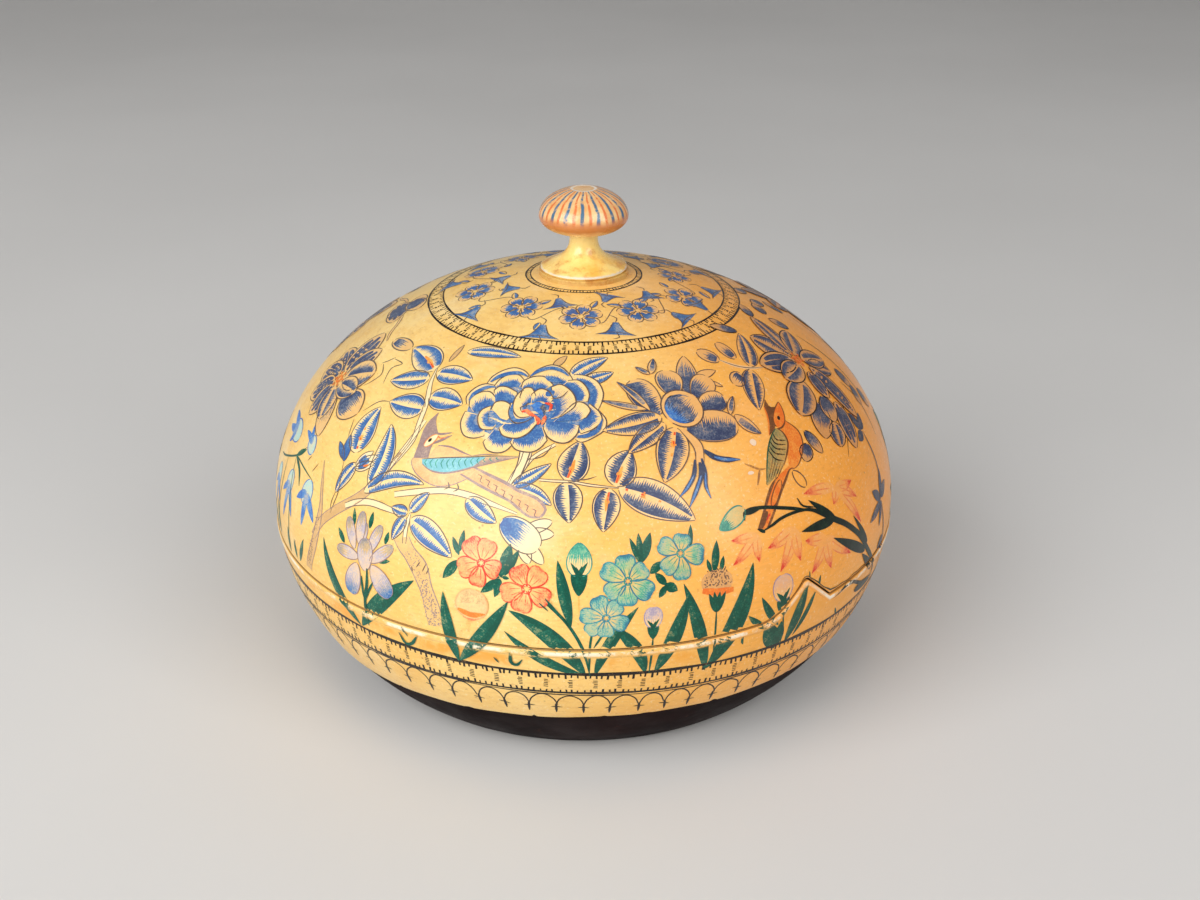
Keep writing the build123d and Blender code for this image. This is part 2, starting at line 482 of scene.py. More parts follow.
class Graph:
    """Adds nodes to one node tree and joins them."""

    def __init__(self, tree: bpy.types.NodeTree) -> None:
        """Keep the tree that the nodes go into."""
        self.tree = tree

    def add(
        self, kind: str, inputs: dict[str | int, object] | None = None, **settings: object
    ) -> bpy.types.Node:
        """Add one node.

        Args:
            kind: class of the node, without its ShaderNode prefix.
            inputs: sockets to join to, or constants, by input name or number.
            settings: properties of the node.

        Returns:
            The new node.
        """
        node = self.tree.nodes.new("ShaderNode" + kind)
        for name, value in settings.items():
            setattr(node, name, value)
        for key, value in (inputs or {}).items():
            if isinstance(value, bpy.types.NodeSocket):
                self.tree.links.new(value, node.inputs[key])
            else:
                node.inputs[key].default_value = value
        return node

    def link(self, source: bpy.types.NodeSocket, target: bpy.types.NodeSocket) -> None:
        """Join an output to an input."""
        self.tree.links.new(source, target)

    def math(self, operation: str, first: object, second: object = 0.0) -> bpy.types.NodeSocket:
        """Join two values with a math node that doesn't clamp, and give its result."""
        return self.add("Math", {0: first, 1: second}, operation=operation).outputs[0]

    def times(self, first: object, second: object) -> bpy.types.NodeSocket:
        """Multiply two values."""
        return self.math("MULTIPLY", first, second)

    def plus(self, first: object, second: object) -> bpy.types.NodeSocket:
        """Add two values."""
        return self.math("ADD", first, second)

    def place(self) -> bpy.types.NodeSocket:
        """Give where on the box a point is, in metres."""
        return self.add("TexCoord").outputs["Object"]

    def axis(self, place: object, number: int) -> bpy.types.NodeSocket:
        """Give one axis of a place: 0 for x, 1 for y, 2 for z."""
        return self.add("SeparateXYZ", {0: place}).outputs[number]

    def carried(self, name: str) -> bpy.types.NodeSocket:
        """Give a number that each point of the mesh carries."""
        return self.add("Attribute", attribute_name=name).outputs["Fac"]

    def relief(
        self, shader: bpy.types.Node, height: object, strength: float, distance: float = 0.001
    ) -> None:
        """Roughen a shader's surface with a bump.

        Args:
            shader: the shader.
            height: socket of the height.
            strength: how strong the bump is.
            distance: depth that a height of 1 stands for, in metres.
        """
        bump = self.add("Bump", {"Height": height, "Strength": strength, "Distance": distance})
        self.link(bump.outputs[0], shader.inputs["Normal"])

    def mix(self, share: object, first: object, second: object) -> bpy.types.NodeSocket:
        """Mix two colours by a share and give the result."""
        node = self.add("Mix", {0: share, 6: first, 7: second}, data_type="RGBA")
        return node.outputs[2]

    def remap(
        self, value: object, low: float, high: float, out_low: float = 0.0, out_high: float = 1.0
    ) -> bpy.types.NodeSocket:
        """Turn a range of values into another, smoothly and without going past its ends.

        Args:
            value: socket to read.
            low: value that becomes out_low.
            high: value that becomes out_high.
            out_low: result at low.
            out_high: result at high.

        Returns:
            The socket of the result.
        """
        node = self.add(
            "MapRange", {0: value, 1: low, 2: high, 3: out_low, 4: out_high},
            interpolation_type="SMOOTHSTEP",
        )
        return node.outputs[0]

    def noise(
        self, place: object, scale: float, detail: float = 3.0, rough: float = 0.5
    ) -> bpy.types.NodeSocket:
        """Read cloudy noise at a place and give its value."""
        return self.add(
            "TexNoise", {"Vector": place, "Scale": scale, "Detail": detail, "Roughness": rough}
        ).outputs[0]

    def clouded(
        self, colour: object, tint: object, noise: tuple[object, ...], low: float, high: float,
        weak: float = 0.0, strong: float = 1.0,
    ) -> bpy.types.NodeSocket:
        """Tint a colour in cloudy patches.

        Args:
            colour: the colour so far.
            tint: the colour of the patches.
            noise: place, scale, detail and roughness of the noise.
            low: noise at which the tint is weak.
            high: noise at which it is strong.
            weak: share of the tint where the noise is low.
            strong: share of the tint where it is high.

        Returns:
            The tinted colour.
        """
        return self.mix(self.remap(self.noise(*noise), low, high, weak, strong), colour, tint)

    def between(
        self, value: object, rise: tuple[float, float], fall: tuple[float, float]
    ) -> bpy.types.NodeSocket:
        """Give 1 where a value lies after its rise and before its fall, and 0 outside them."""
        return self.times(self.remap(value, *rise), self.remap(value, *fall, 1.0, 0.0))

    def apart(self, first: object, second: object) -> bpy.types.NodeSocket:
        """Give how far two values are apart."""
        return self.math("ABSOLUTE", self.math("SUBTRACT", first, second))

    def drawn_out(self, place: object, upwards: float) -> bpy.types.NodeSocket:
        """Squeeze a place upwards, so that noise read there runs along the rim."""
        scale = (1.0, 1.0, upwards)
        return self.add("Mapping", {"Vector": place, "Scale": scale}).outputs[0]


def new_group(
    name: str, inputs: Iterable[tuple[str, str, object]], outputs: Iterable[tuple[str, str]]
) -> tuple[bpy.types.NodeTree, Graph, bpy.types.Node, bpy.types.Node]:
    """Start a shader node group.

    Args:
        name: name of the group.
        inputs: name, socket type and default of each input.
        outputs: name and socket type of each output.

    Returns:
        The tree, a graph on it, its input node and its output node.
    """
    tree = bpy.data.node_groups.new(name, "ShaderNodeTree")
    for label, kind, default in inputs:
        socket = tree.interface.new_socket(label, in_out="INPUT", socket_type=kind)
        socket.default_value = default
    for label, kind in outputs:
        tree.interface.new_socket(label, in_out="OUTPUT", socket_type=kind)
    return (tree, Graph(tree), tree.nodes.new("NodeGroupInput"), tree.nodes.new("NodeGroupOutput"))


class Effects:
    """Shader groups that several finishes share."""

    def __init__(self) -> None:
        """Build each group once."""
        self.ground_tone = self._ground_tone()
        self.varnish_skin = self._varnish_skin()
        self.paint_tone = self._paint_tone()

    @staticmethod
    def _ground_tone() -> bpy.types.NodeTree:
        """Ochre ground under old varnish: patches, brush drag, specks, small stains and painted
        shade.

        Returns:
            The group, which gives a colour and how far painted shade darkens it towards +X.
        """
        tree, graph, _, out = new_group(
            "ground_tone", (), (("Colour", "NodeSocketColor"), ("Age", "NodeSocketFloat"))
        )
        place = graph.place()
        height = graph.axis(place, 2)
        colour = graph.clouded(
            srgb(254, 218, 140), srgb(250, 202, 112), (place, 26.0, 3.0), 0.36, 0.66
        )
        colour = graph.clouded(
            colour, srgb(242, 188, 96), (place, 95.0, 4.0, 0.6), 0.42, 0.74, 0.0, 0.5
        )
        colour = graph.clouded(
            colour, srgb(254, 228, 172), (place, 61.0, 3.0, 0.65), 0.52, 0.75, 0.0, 0.55
        )
        # Painted shade: the ground turns darker orange towards +X, the side away from the window
        # lamp.
        across = graph.axis(place, 0)
        wander = graph.times(graph.noise(place, 22.0, 3.0), 0.04)
        painted_shade = graph.remap(graph.plus(across, wander), 0.0, 0.08, 0.0, 0.92)
        colour = graph.mix(painted_shade, colour, srgb(250, 158, 44))
        low = graph.remap(height, 0.034, 0.05, 0.3, 0.0)
        colour = graph.mix(low, colour, srgb(236, 182, 84))
        colour = graph.clouded(
            colour, srgb(255, 242, 204), (place, 1500.0, 3.0, 0.7), 0.3, 0.44, 0.34, 0.0
        )
        colour = graph.clouded(
            colour, srgb(184, 118, 52), (place, 1150.0, 3.0, 0.7), 0.6, 0.72, 0.0, 0.4
        )
        drag_place = graph.drawn_out(place, 4.5)
        colour = graph.clouded(
            colour, srgb(196, 132, 62), (drag_place, 420.0, 2.0), 0.45, 0.7, 0.0, 0.16
        )
        colour = graph.clouded(
            colour, srgb(206, 128, 52), (place, 160.0, 5.0, 0.7), 0.66, 0.76, 0.0, 0.45
        )
        cells = graph.add("TexVoronoi", {"Vector": place, "Scale": 330.0}).outputs[0]
        keep = graph.remap(graph.noise(place, 120.0, 2.0), 0.5, 0.64)
        specks = graph.times(graph.remap(cells, 0.04, 0.12, 0.5, 0.0), keep)
        colour = graph.mix(specks, colour, srgb(138, 84, 44))
        under = graph.carried("under")
        patchy = graph.noise(place, 70.0, 5.0, 0.7)
        stain = graph.between(under, (1.8, 2.4), (3.6, 6.2))
        stain = graph.times(stain, graph.remap(patchy, 0.44, 0.58, 0.0, 0.8))
        colour = graph.mix(stain, colour, srgb(238, 160, 52))
        # Pale band along the top of the bead under the rim: scraped wear, and a painted highlight
        # where the bead's top catches the light.
        bead = graph.between(under, (0.25, 0.45), (0.9, 1.5))
        scraped_and_highlight = graph.remap(graph.noise(place, 130.0, 5.0, 0.75), 0.42, 0.58, 0.0, 0.85)
        scraped_and_highlight = graph.times(scraped_and_highlight, graph.remap(height, 0.0384, 0.0412, 1.0, 0.5))
        colour = graph.mix(graph.times(bead, scraped_and_highlight), colour, srgb(252, 242, 220))
        # Painted shade: a brown line along each cut edge, darkening the gap between lid and base.
        gap_shade = graph.remap(graph.math("ABSOLUTE", under), 0.04, 0.2, 0.7, 0.0)
        colour = graph.mix(gap_shade, colour, srgb(132, 88, 54))
        graph.link(colour, out.inputs[0])
        graph.link(painted_shade, out.inputs[1])
        return tree

    @staticmethod
    def _varnish_skin() -> bpy.types.NodeTree:
        """Surface of old varnish: fine waves for bump, and how dull it has worn.

        Returns:
            The group, which gives a height and a dullness.
        """
        tree, graph, source, out = new_group(
            "varnish_skin", (("Wear", "NodeSocketFloat", 1.0),),
            (("Height", "NodeSocketFloat"), ("Dullness", "NodeSocketFloat")),
        )
        place = graph.place()
        waves = graph.noise(place, 150.0, 3.0, 0.55)
        grain = graph.noise(place, 900.0, 2.0, 0.5)
        height = graph.plus(graph.times(waves, 0.8), graph.times(grain, 0.12))
        rubbed = graph.remap(graph.noise(place, 48.0, 4.0, 0.6), 0.42, 0.7)
        fine = graph.remap(graph.noise(place, 600.0, 2.0, 0.5), 0.4, 0.75)
        worn = graph.times(
            graph.plus(graph.times(rubbed, 0.7), graph.times(fine, 0.3)), source.outputs[0]
        )
        graph.link(height, out.inputs[0])
        graph.link(worn, out.inputs[1])
        return tree

    def _paint_tone(self) -> bpy.types.NodeTree:
        """Paint over the ground: brushy strength from each point's wash, and rubbed flecks.

        Returns:
            The group, which gives a colour.
        """
        tree, graph, source, out = new_group(
            "paint_tone",
            (
                ("Thin", "NodeSocketColor", (1.0, 1.0, 1.0, 1.0)),
                ("Thick", "NodeSocketColor", (0.5, 0.5, 0.5, 1.0)),
                ("Cover", "NodeSocketFloat", 0.9),
            ),
            (("Colour", "NodeSocketColor"),),
        )
        place = graph.place()
        wash = graph.carried("wash")
        brushy = graph.noise(place, 2600.0, 2.0, 0.6)
        cloudy = graph.noise(place, 420.0, 3.0, 0.6)
        strength = graph.times(wash, graph.remap(graph.plus(brushy, cloudy), 0.74, 1.22, 0.7, 1.2))
        pigment = graph.mix(
            graph.remap(strength, 0.4, 1.12), source.outputs["Thin"], source.outputs["Thick"]
        )
        tone = graph.add("Group", node_tree=self.ground_tone)
        ground = tone.outputs[0]
        # Painted shade: on the +X side each paint is painted darker and warmer, by the ground's
        # painted shade share.
        shaded_pigment = graph.add(
            "VectorMath", {0: pigment, 1: (0.86, 0.66, 0.56)}, operation="MULTIPLY"
        ).outputs[0]
        pigment = graph.mix(tone.outputs[1], pigment, shaded_pigment)
        rubbed = graph.remap(graph.noise(place, 900.0, 4.0, 0.7), 0.68, 0.78, 1.0, 0.72)
        under = graph.carried("under")
        # Paint is rubbed off along the bead's top so the ground's pale band shows: scraped wear, and
        # a painted highlight.
        bead = graph.between(under, (0.2, 0.5), (1.5, 2.2))
        scraped_and_highlight = graph.remap(graph.noise(place, 260.0, 5.0, 0.75), 0.42, 0.55)
        kept = graph.math("SUBTRACT", 1.0, graph.times(bead, scraped_and_highlight))
        full = graph.math("MINIMUM", graph.times(strength, 1.4), 1.0)
        share = graph.times(graph.times(full, source.outputs["Cover"]), graph.times(rubbed, kept))
        graph.link(graph.mix(share, ground, pigment), out.inputs[0])
        return tree


def new_material(name: str) -> tuple[bpy.types.Material, Graph, bpy.types.Node]:
    """Start a material with one Principled shader.

    Args:
        name: name of the material.

    Returns:
        The material, a graph on its tree, and the shader node.
    """
    material = bpy.data.materials.new(name)
    material.use_nodes = True
    material.node_tree.nodes.clear()
    graph = Graph(material.node_tree)
    shader = graph.add("BsdfPrincipled")
    graph.add("OutputMaterial", {0: shader.outputs[0]})
    return material, graph, shader


# ---------------------------------------------------------------- finishes


@dataclass(frozen=True)
class VarnishedGround:
    """Ochre ground of the skins under glossy old varnish."""

    effects: Effects
    gloss: float = 0.3
    rub: float = 0.16
    relief: float = 0.07

    def varnish(self, graph: Graph, shader: bpy.types.Node) -> None:
        """Give a shader the varnish's gloss and fine relief.

        Args:
            graph: the material's graph.
            shader: its Principled shader.
        """
        skin = graph.add("Group", node_tree=self.effects.varnish_skin)
        graph.link(
            graph.remap(skin.outputs[1], 0.0, 1.0, self.gloss, self.gloss + self.rub),
            shader.inputs["Roughness"],
        )
        graph.relief(shader, skin.outputs[0], self.relief)
        shader.inputs["Coat Weight"].default_value = 0.16
        shader.inputs["Coat Roughness"].default_value = 0.16
        shader.inputs["Specular IOR Level"].default_value = 0.32

    def material(self) -> bpy.types.Material:
        """Make the ground's material.

        Returns:
            The material.
        """
        material, graph, shader = new_material("varnished_ground")
        tone = graph.add("Group", node_tree=self.effects.ground_tone)
        graph.link(tone.outputs[0], shader.inputs["Base Color"])
        self.varnish(graph, shader)
        return material


@dataclass(frozen=True)
class BlackLacquer:
    """Black lacquer on the pulp, with bare brown pulp where the saw went through."""

    effects: Effects
    low: float = 0.0369
    high: float = 0.0453

    def material(self) -> bpy.types.Material:
        """Make the lacquer's material.

        Returns:
            The material.
        """
        material, graph, shader = new_material("black_lacquer")
        coords = graph.add("TexCoord")
        place = coords.outputs["Object"]
        colour = graph.clouded(
            srgb(22, 10, 11), srgb(34, 17, 17), (place, 55.0, 4.0, 0.6), 0.4, 0.72
        )
        colour = graph.clouded(
            colour, srgb(78, 44, 34), (place, 240.0, 4.0, 0.7), 0.62, 0.76, 0.0, 0.5
        )
        spot = graph.add("SeparateXYZ", {0: place})
        flat_place = graph.add("CombineXYZ", {0: spot.outputs[0], 1: spot.outputs[1]}).outputs[0]
        outward = graph.add("VectorMath", {0: flat_place}, operation="NORMALIZE").outputs[0]
        facing = graph.add(
            "VectorMath", {0: outward, 1: coords.outputs["Normal"]}, operation="DOT_PRODUCT"
        ).outputs["Value"]
        sawn = graph.remap(graph.math("ABSOLUTE", facing), 0.35, 0.55, 1.0, 0.0)
        above = graph.remap(spot.outputs[2], self.low, self.low + 0.0002)
        below = graph.remap(spot.outputs[2], self.high - 0.0002, self.high, 1.0, 0.0)
        sawn = graph.times(sawn, graph.times(above, below))
        fibres = graph.noise(place, 1400.0, 4.0, 0.7)
        pulp = graph.mix(graph.remap(fibres, 0.35, 0.7), srgb(128, 92, 62), srgb(92, 62, 42))
        colour = graph.mix(sawn, colour, pulp)
        graph.link(colour, shader.inputs["Base Color"])
        dull = graph.remap(graph.noise(place, 90.0, 4.0, 0.6), 0.3, 0.75, 0.46, 0.66)
        rough = graph.math("MAXIMUM", dull, graph.times(sawn, 0.85))
        graph.link(rough, shader.inputs["Roughness"])
        height = graph.plus(graph.noise(place, 130.0, 3.0), graph.times(fibres, 0.12))
        graph.relief(shader, height, 0.12)
        shader.inputs["Specular IOR Level"].default_value = 0.04
        return material


@dataclass(frozen=True)
class LacqueredBoard:
    """Black lacquered paper ring, browned and rubbed where the lid slides over it."""

    rubbed_to: float = 0.0446

    def material(self) -> bpy.types.Material:
        """Make the collar's material.

        Returns:
            The material.
        """
        material, graph, shader = new_material("lacquered_board")
        place = graph.place()
        height = graph.axis(place, 2)
        colour = graph.clouded(
            srgb(46, 28, 26), srgb(64, 40, 34), (place, 80.0, 4.0, 0.6), 0.4, 0.7
        )
        streak_place = graph.drawn_out(place, 7.0)
        streaks = graph.remap(graph.noise(streak_place, 260.0, 3.0, 0.6), 0.5, 0.72)
        top = graph.remap(height, self.rubbed_to, self.rubbed_to + 0.0006)
        rub = graph.times(graph.math("MAXIMUM", streaks, top), 0.55)
        colour = graph.mix(rub, colour, srgb(112, 76, 52))
        graph.link(colour, shader.inputs["Base Color"])
        rough = graph.remap(streaks, 0.0, 1.0, 0.42, 0.62)
        graph.link(rough, shader.inputs["Roughness"])
        graph.relief(shader, graph.noise(streak_place, 300.0, 3.0), 0.15)
        return material


@dataclass(frozen=True)
class TurnedFinial:
    """Painted and varnished turned wood: pale neck, tan cap, browned and worn edges."""

    effects: Effects
    cap_from: float = 0.1035
    cap_edge: float = 0.1072
    flare: float = 0.0954
    crown: float = 0.0939
    top: float = 0.109
    flat_radius: float = 0.0027
    lip_radius: float = 0.0091
    rays: int = 17

    def rayed(
        self, graph: Graph, colour: bpy.types.NodeSocket, place: bpy.types.NodeSocket,
        reach: bpy.types.NodeSocket, height: bpy.types.NodeSocket,
    ) -> bpy.types.NodeSocket:
        """Lay blue and red rays on the cap, about a worn flat at its top.

        Args:
            graph: the material's graph.
            colour: the cap's colour so far.
            place: where the point is.
            reach: its distance from the middle.
            height: its height.

        Returns:
            The colour with the rays.
        """
        spot = graph.add("SeparateXYZ", {0: place})
        turn = graph.math("ARCTAN2", spot.outputs[0], spot.outputs[1])
        wander = graph.times(graph.noise(place, 260.0, 2.0), 0.3)
        turn = graph.plus(graph.times(turn, self.rays / (2 * math.pi)), wander)
        upper = graph.remap(height, self.cap_edge - 0.0006, self.cap_edge + 0.0008)
        ray = graph.times(upper, graph.remap(reach, self.flat_radius, 0.0034))
        broken = graph.remap(graph.noise(place, 800.0, 3.0, 0.7), 0.32, 0.5, 0.25, 0.95)
        ray = graph.times(ray, broken)
        for shift, wide, paint in ((0.0, 0.1, srgb(226, 118, 60)), (0.5, 0.13, srgb(44, 106, 142))):
            share = graph.math("FRACT", graph.plus(turn, 20.25 + shift))
            off = graph.apart(share, 0.5)
            line = graph.remap(off, wide * 0.55, wide * 1.25, 1.0, 0.0)
            colour = graph.mix(graph.times(line, ray), colour, paint)
        rim = graph.apart(reach, self.flat_radius)
        rim = graph.plus(rim, graph.times(graph.noise(place, 600.0, 3.0), 0.0007))
        chipped = graph.remap(rim, 0.0004, 0.0008, 0.95, 0.0)
        chipped = graph.times(chipped, graph.remap(height, self.top, 0.1095))
        return graph.mix(chipped, colour, srgb(250, 240, 224))

    def material(self) -> bpy.types.Material:
        """Make the finial's material.

        Returns:
            The material.
        """
        material, graph, shader = new_material("turned_painted_wood")
        place = graph.place()
        spot = graph.add("SeparateXYZ", {0: place})
        height = spot.outputs[2]
        reach = graph.add(
            "VectorMath",
            {0: graph.add("CombineXYZ", {0: spot.outputs[0], 1: spot.outputs[1]}).outputs[0]},
            operation="LENGTH",
        ).outputs["Value"]
        colour = graph.clouded(
            srgb(255, 226, 138), srgb(244, 192, 88), (place, 130.0, 4.0, 0.6), 0.38, 0.68
        )
        colour = graph.clouded(
            colour, srgb(204, 132, 50), (place, 300.0, 4.0, 0.7), 0.48, 0.7, 0.0, 0.7
        )
        cap = graph.remap(height, self.cap_from, self.cap_from + 0.0006)
        tan = graph.clouded(
            srgb(248, 202, 142), srgb(234, 170, 102), (place, 300.0, 4.0, 0.65), 0.36, 0.7
        )
        colour = graph.mix(cap, colour, self.rayed(graph, tan, place, reach, height))
        near_edge = graph.apart(height, self.cap_edge - 0.0006)
        ragged = graph.plus(near_edge, graph.times(graph.noise(place, 500.0, 3.0), 0.0014))
        edge = graph.remap(ragged, 0.0012, 0.0028, 0.85, 0.0)
        colour = graph.mix(edge, colour, srgb(200, 112, 38))
        lip = graph.apart(height, self.flare - 0.0002)
        lip = graph.plus(lip, graph.times(graph.noise(place, 700.0, 3.0), 0.0006))
        lip_worn = graph.remap(lip, 0.0003, 0.0007, 1.0, 0.0)
        wide = graph.remap(reach, self.lip_radius, 0.0097)
        lip_worn = graph.times(lip_worn, wide)
        colour = graph.mix(lip_worn, colour, srgb(240, 232, 214))
        groove = graph.times(
            graph.remap(height, self.crown + 0.0002, self.crown + 0.0012, 1.0, 0.0), 0.5
        )
        colour = graph.mix(groove, colour, srgb(168, 96, 38))
        graph.link(colour, shader.inputs["Base Color"])
        skin = graph.add("Group", {"Wear": 1.0}, node_tree=self.effects.varnish_skin)
        rough = graph.remap(skin.outputs[1], 0.0, 1.0, 0.22, 0.42)
        rough = graph.math("MAXIMUM", rough, graph.times(lip_worn, 0.7))
        graph.link(rough, shader.inputs["Roughness"])
        graph.relief(shader, skin.outputs[0], 0.12)
        shader.inputs["Coat Weight"].default_value = 0.5
        shader.inputs["Coat Roughness"].default_value = 0.12
        return material


# ---------------------------------------------------------------- paint


class Pigment(Enum):
    """Paints of the decoration."""

    INK = "ink"
    UMBER = "umber"
    CREAM = "cream"
    BUFF = "buff"
    BARK = "bark"
    BLUE = "lapis"
    SLATE = "slate"
    AZURE = "azure"
    MYRTLE = "myrtle"
    DEEP = "deep_blue"
    GREEN = "green"
    TEAL = "teal"
    CYAN = "cyan"
    SKY = "sky"
    LILAC = "lilac"
    MAUVE = "mauve"
    CORAL = "coral"
    ORANGE = "orange"
    PEACH = "peach"
    BROWN = "brown"
    CHALK = "chalk"


@dataclass(frozen=True)
class PaintMix:
    """Colours of one paint, thinly and thickly laid, and how well it covers the ground."""

    thin: tuple[int, int, int]
    thick: tuple[int, int, int]
    cover: float = 0.9


PAINT_MIXES: dict[Pigment, PaintMix] = {
    Pigment.INK: PaintMix((40, 28, 22), (14, 9, 9), 1.0),
    Pigment.UMBER: PaintMix((112, 96, 92), (62, 56, 66), 0.92),
    Pigment.CREAM: PaintMix((250, 232, 188), (252, 236, 200), 0.62),
    Pigment.BUFF: PaintMix((236, 190, 132), (230, 180, 122), 0.6),
    Pigment.BARK: PaintMix((214, 172, 128), (186, 146, 112), 0.6),
    Pigment.BLUE: PaintMix((78, 140, 190), (18, 90, 160), 0.96),
    Pigment.SLATE: PaintMix((104, 126, 152), (26, 58, 104), 0.97),
    Pigment.AZURE: PaintMix((90, 160, 214), (0, 100, 190), 0.96),
    Pigment.DEEP: PaintMix((44, 84, 120), (16, 48, 92), 0.97),
    Pigment.GREEN: PaintMix((14, 118, 96), (0, 78, 60), 1.0),
    Pigment.MYRTLE: PaintMix((22, 62, 44), (4, 30, 22), 1.0),
    Pigment.TEAL: PaintMix((88, 198, 166), (0, 140, 128), 0.96),
    Pigment.CYAN: PaintMix((76, 190, 180), (0, 118, 148), 0.96),
    Pigment.SKY: PaintMix((160, 226, 232), (98, 190, 206), 0.9),
    Pigment.LILAC: PaintMix((204, 198, 208), (122, 136, 194), 0.82),
    Pigment.MAUVE: PaintMix((168, 144, 146), (124, 104, 122), 0.84),
    Pigment.CORAL: PaintMix((250, 156, 102), (226, 40, 36), 0.95),
    Pigment.ORANGE: PaintMix((252, 170, 70), (240, 116, 32), 0.92),
    Pigment.PEACH: PaintMix((250, 196, 146), (244, 156, 106), 0.7),
    Pigment.BROWN: PaintMix((122, 72, 50), (80, 42, 30), 0.92),
    Pigment.CHALK: PaintMix((252, 244, 226), (250, 240, 220), 0.85),
}


@dataclass(frozen=True)
class Card:
    """A flat sheet of drawing laid against the box at one place, angles in degrees."""

    form: MouldedForm
    azimuth: float
    polar: float
    turn: float = 0.0
    mirrored: bool = False

    def place(self, drawn: Array) -> tuple[Array, Array]:
        """Carry drawn points onto the box.

        Args:
            drawn: rows of x, to the right, and y, up.

        Returns:
            The azimuth and polar angle of each point.
        """
        azimuth, polar = math.radians(self.azimuth), math.radians(self.polar)
        origin = self.form.point(np.array(azimuth), np.array(polar))
        across = np.array([math.cos(azimuth), math.sin(azimuth), 0.0])
        ends = self.form.point(np.full(2, azimuth), np.array([polar - 0.001, polar + 0.001]))
        up = (ends[0] - ends[1]) / np.linalg.norm(ends[0] - ends[1])
        turn = math.radians(self.turn)
        x = drawn[..., 0] * math.cos(turn) - drawn[..., 1] * math.sin(turn)
        y = drawn[..., 0] * math.sin(turn) + drawn[..., 1] * math.cos(turn)
        if self.mirrored:
            x = -x
        away = origin + x[..., None] * across + y[..., None] * up
        away = away - np.array([0.0, 0.0, self.form.widest])
        return (
            np.arctan2(away[..., 0], -away[..., 1]),
            np.arctan2(np.hypot(away[..., 0], away[..., 1]), away[..., 2]),
        )


@dataclass(frozen=True)
class RingStrip:
    """A strip of drawing laid round the box: x runs along the ring and y up the form."""

    form: MouldedForm
    polar: float
    tilt: float = 0.0

    def place(self, drawn: Array) -> tuple[Array, Array]:
        """Carry drawn points onto the box.

        Args:
            drawn: rows of x, along the ring, and y, up from it.

        Returns:
            The azimuth and polar angle of each point.
        """
        near = self.form.point(np.zeros(2), np.array([self.polar - 0.001, self.polar + 0.001]))
        arc = float(np.linalg.norm(near[0] - near[1])) / 0.002
        azimuth = drawn[..., 0] / self.length() * 2 * np.pi
        return azimuth, self.polar + (self.tilt * np.sin(azimuth) - drawn[..., 1]) / arc

    def length(self) -> float:
        """Give the ring's length."""
        middle = self.form.point(np.zeros(1), np.array([self.polar]))[0]
        return 2 * math.pi * float(np.hypot(middle[0], middle[1]))


@dataclass
class Stroke:
    """A patch of paint as a grid of points on the box."""

    azimuth: Array
    polar: Array
    wash: Array
    layer: int


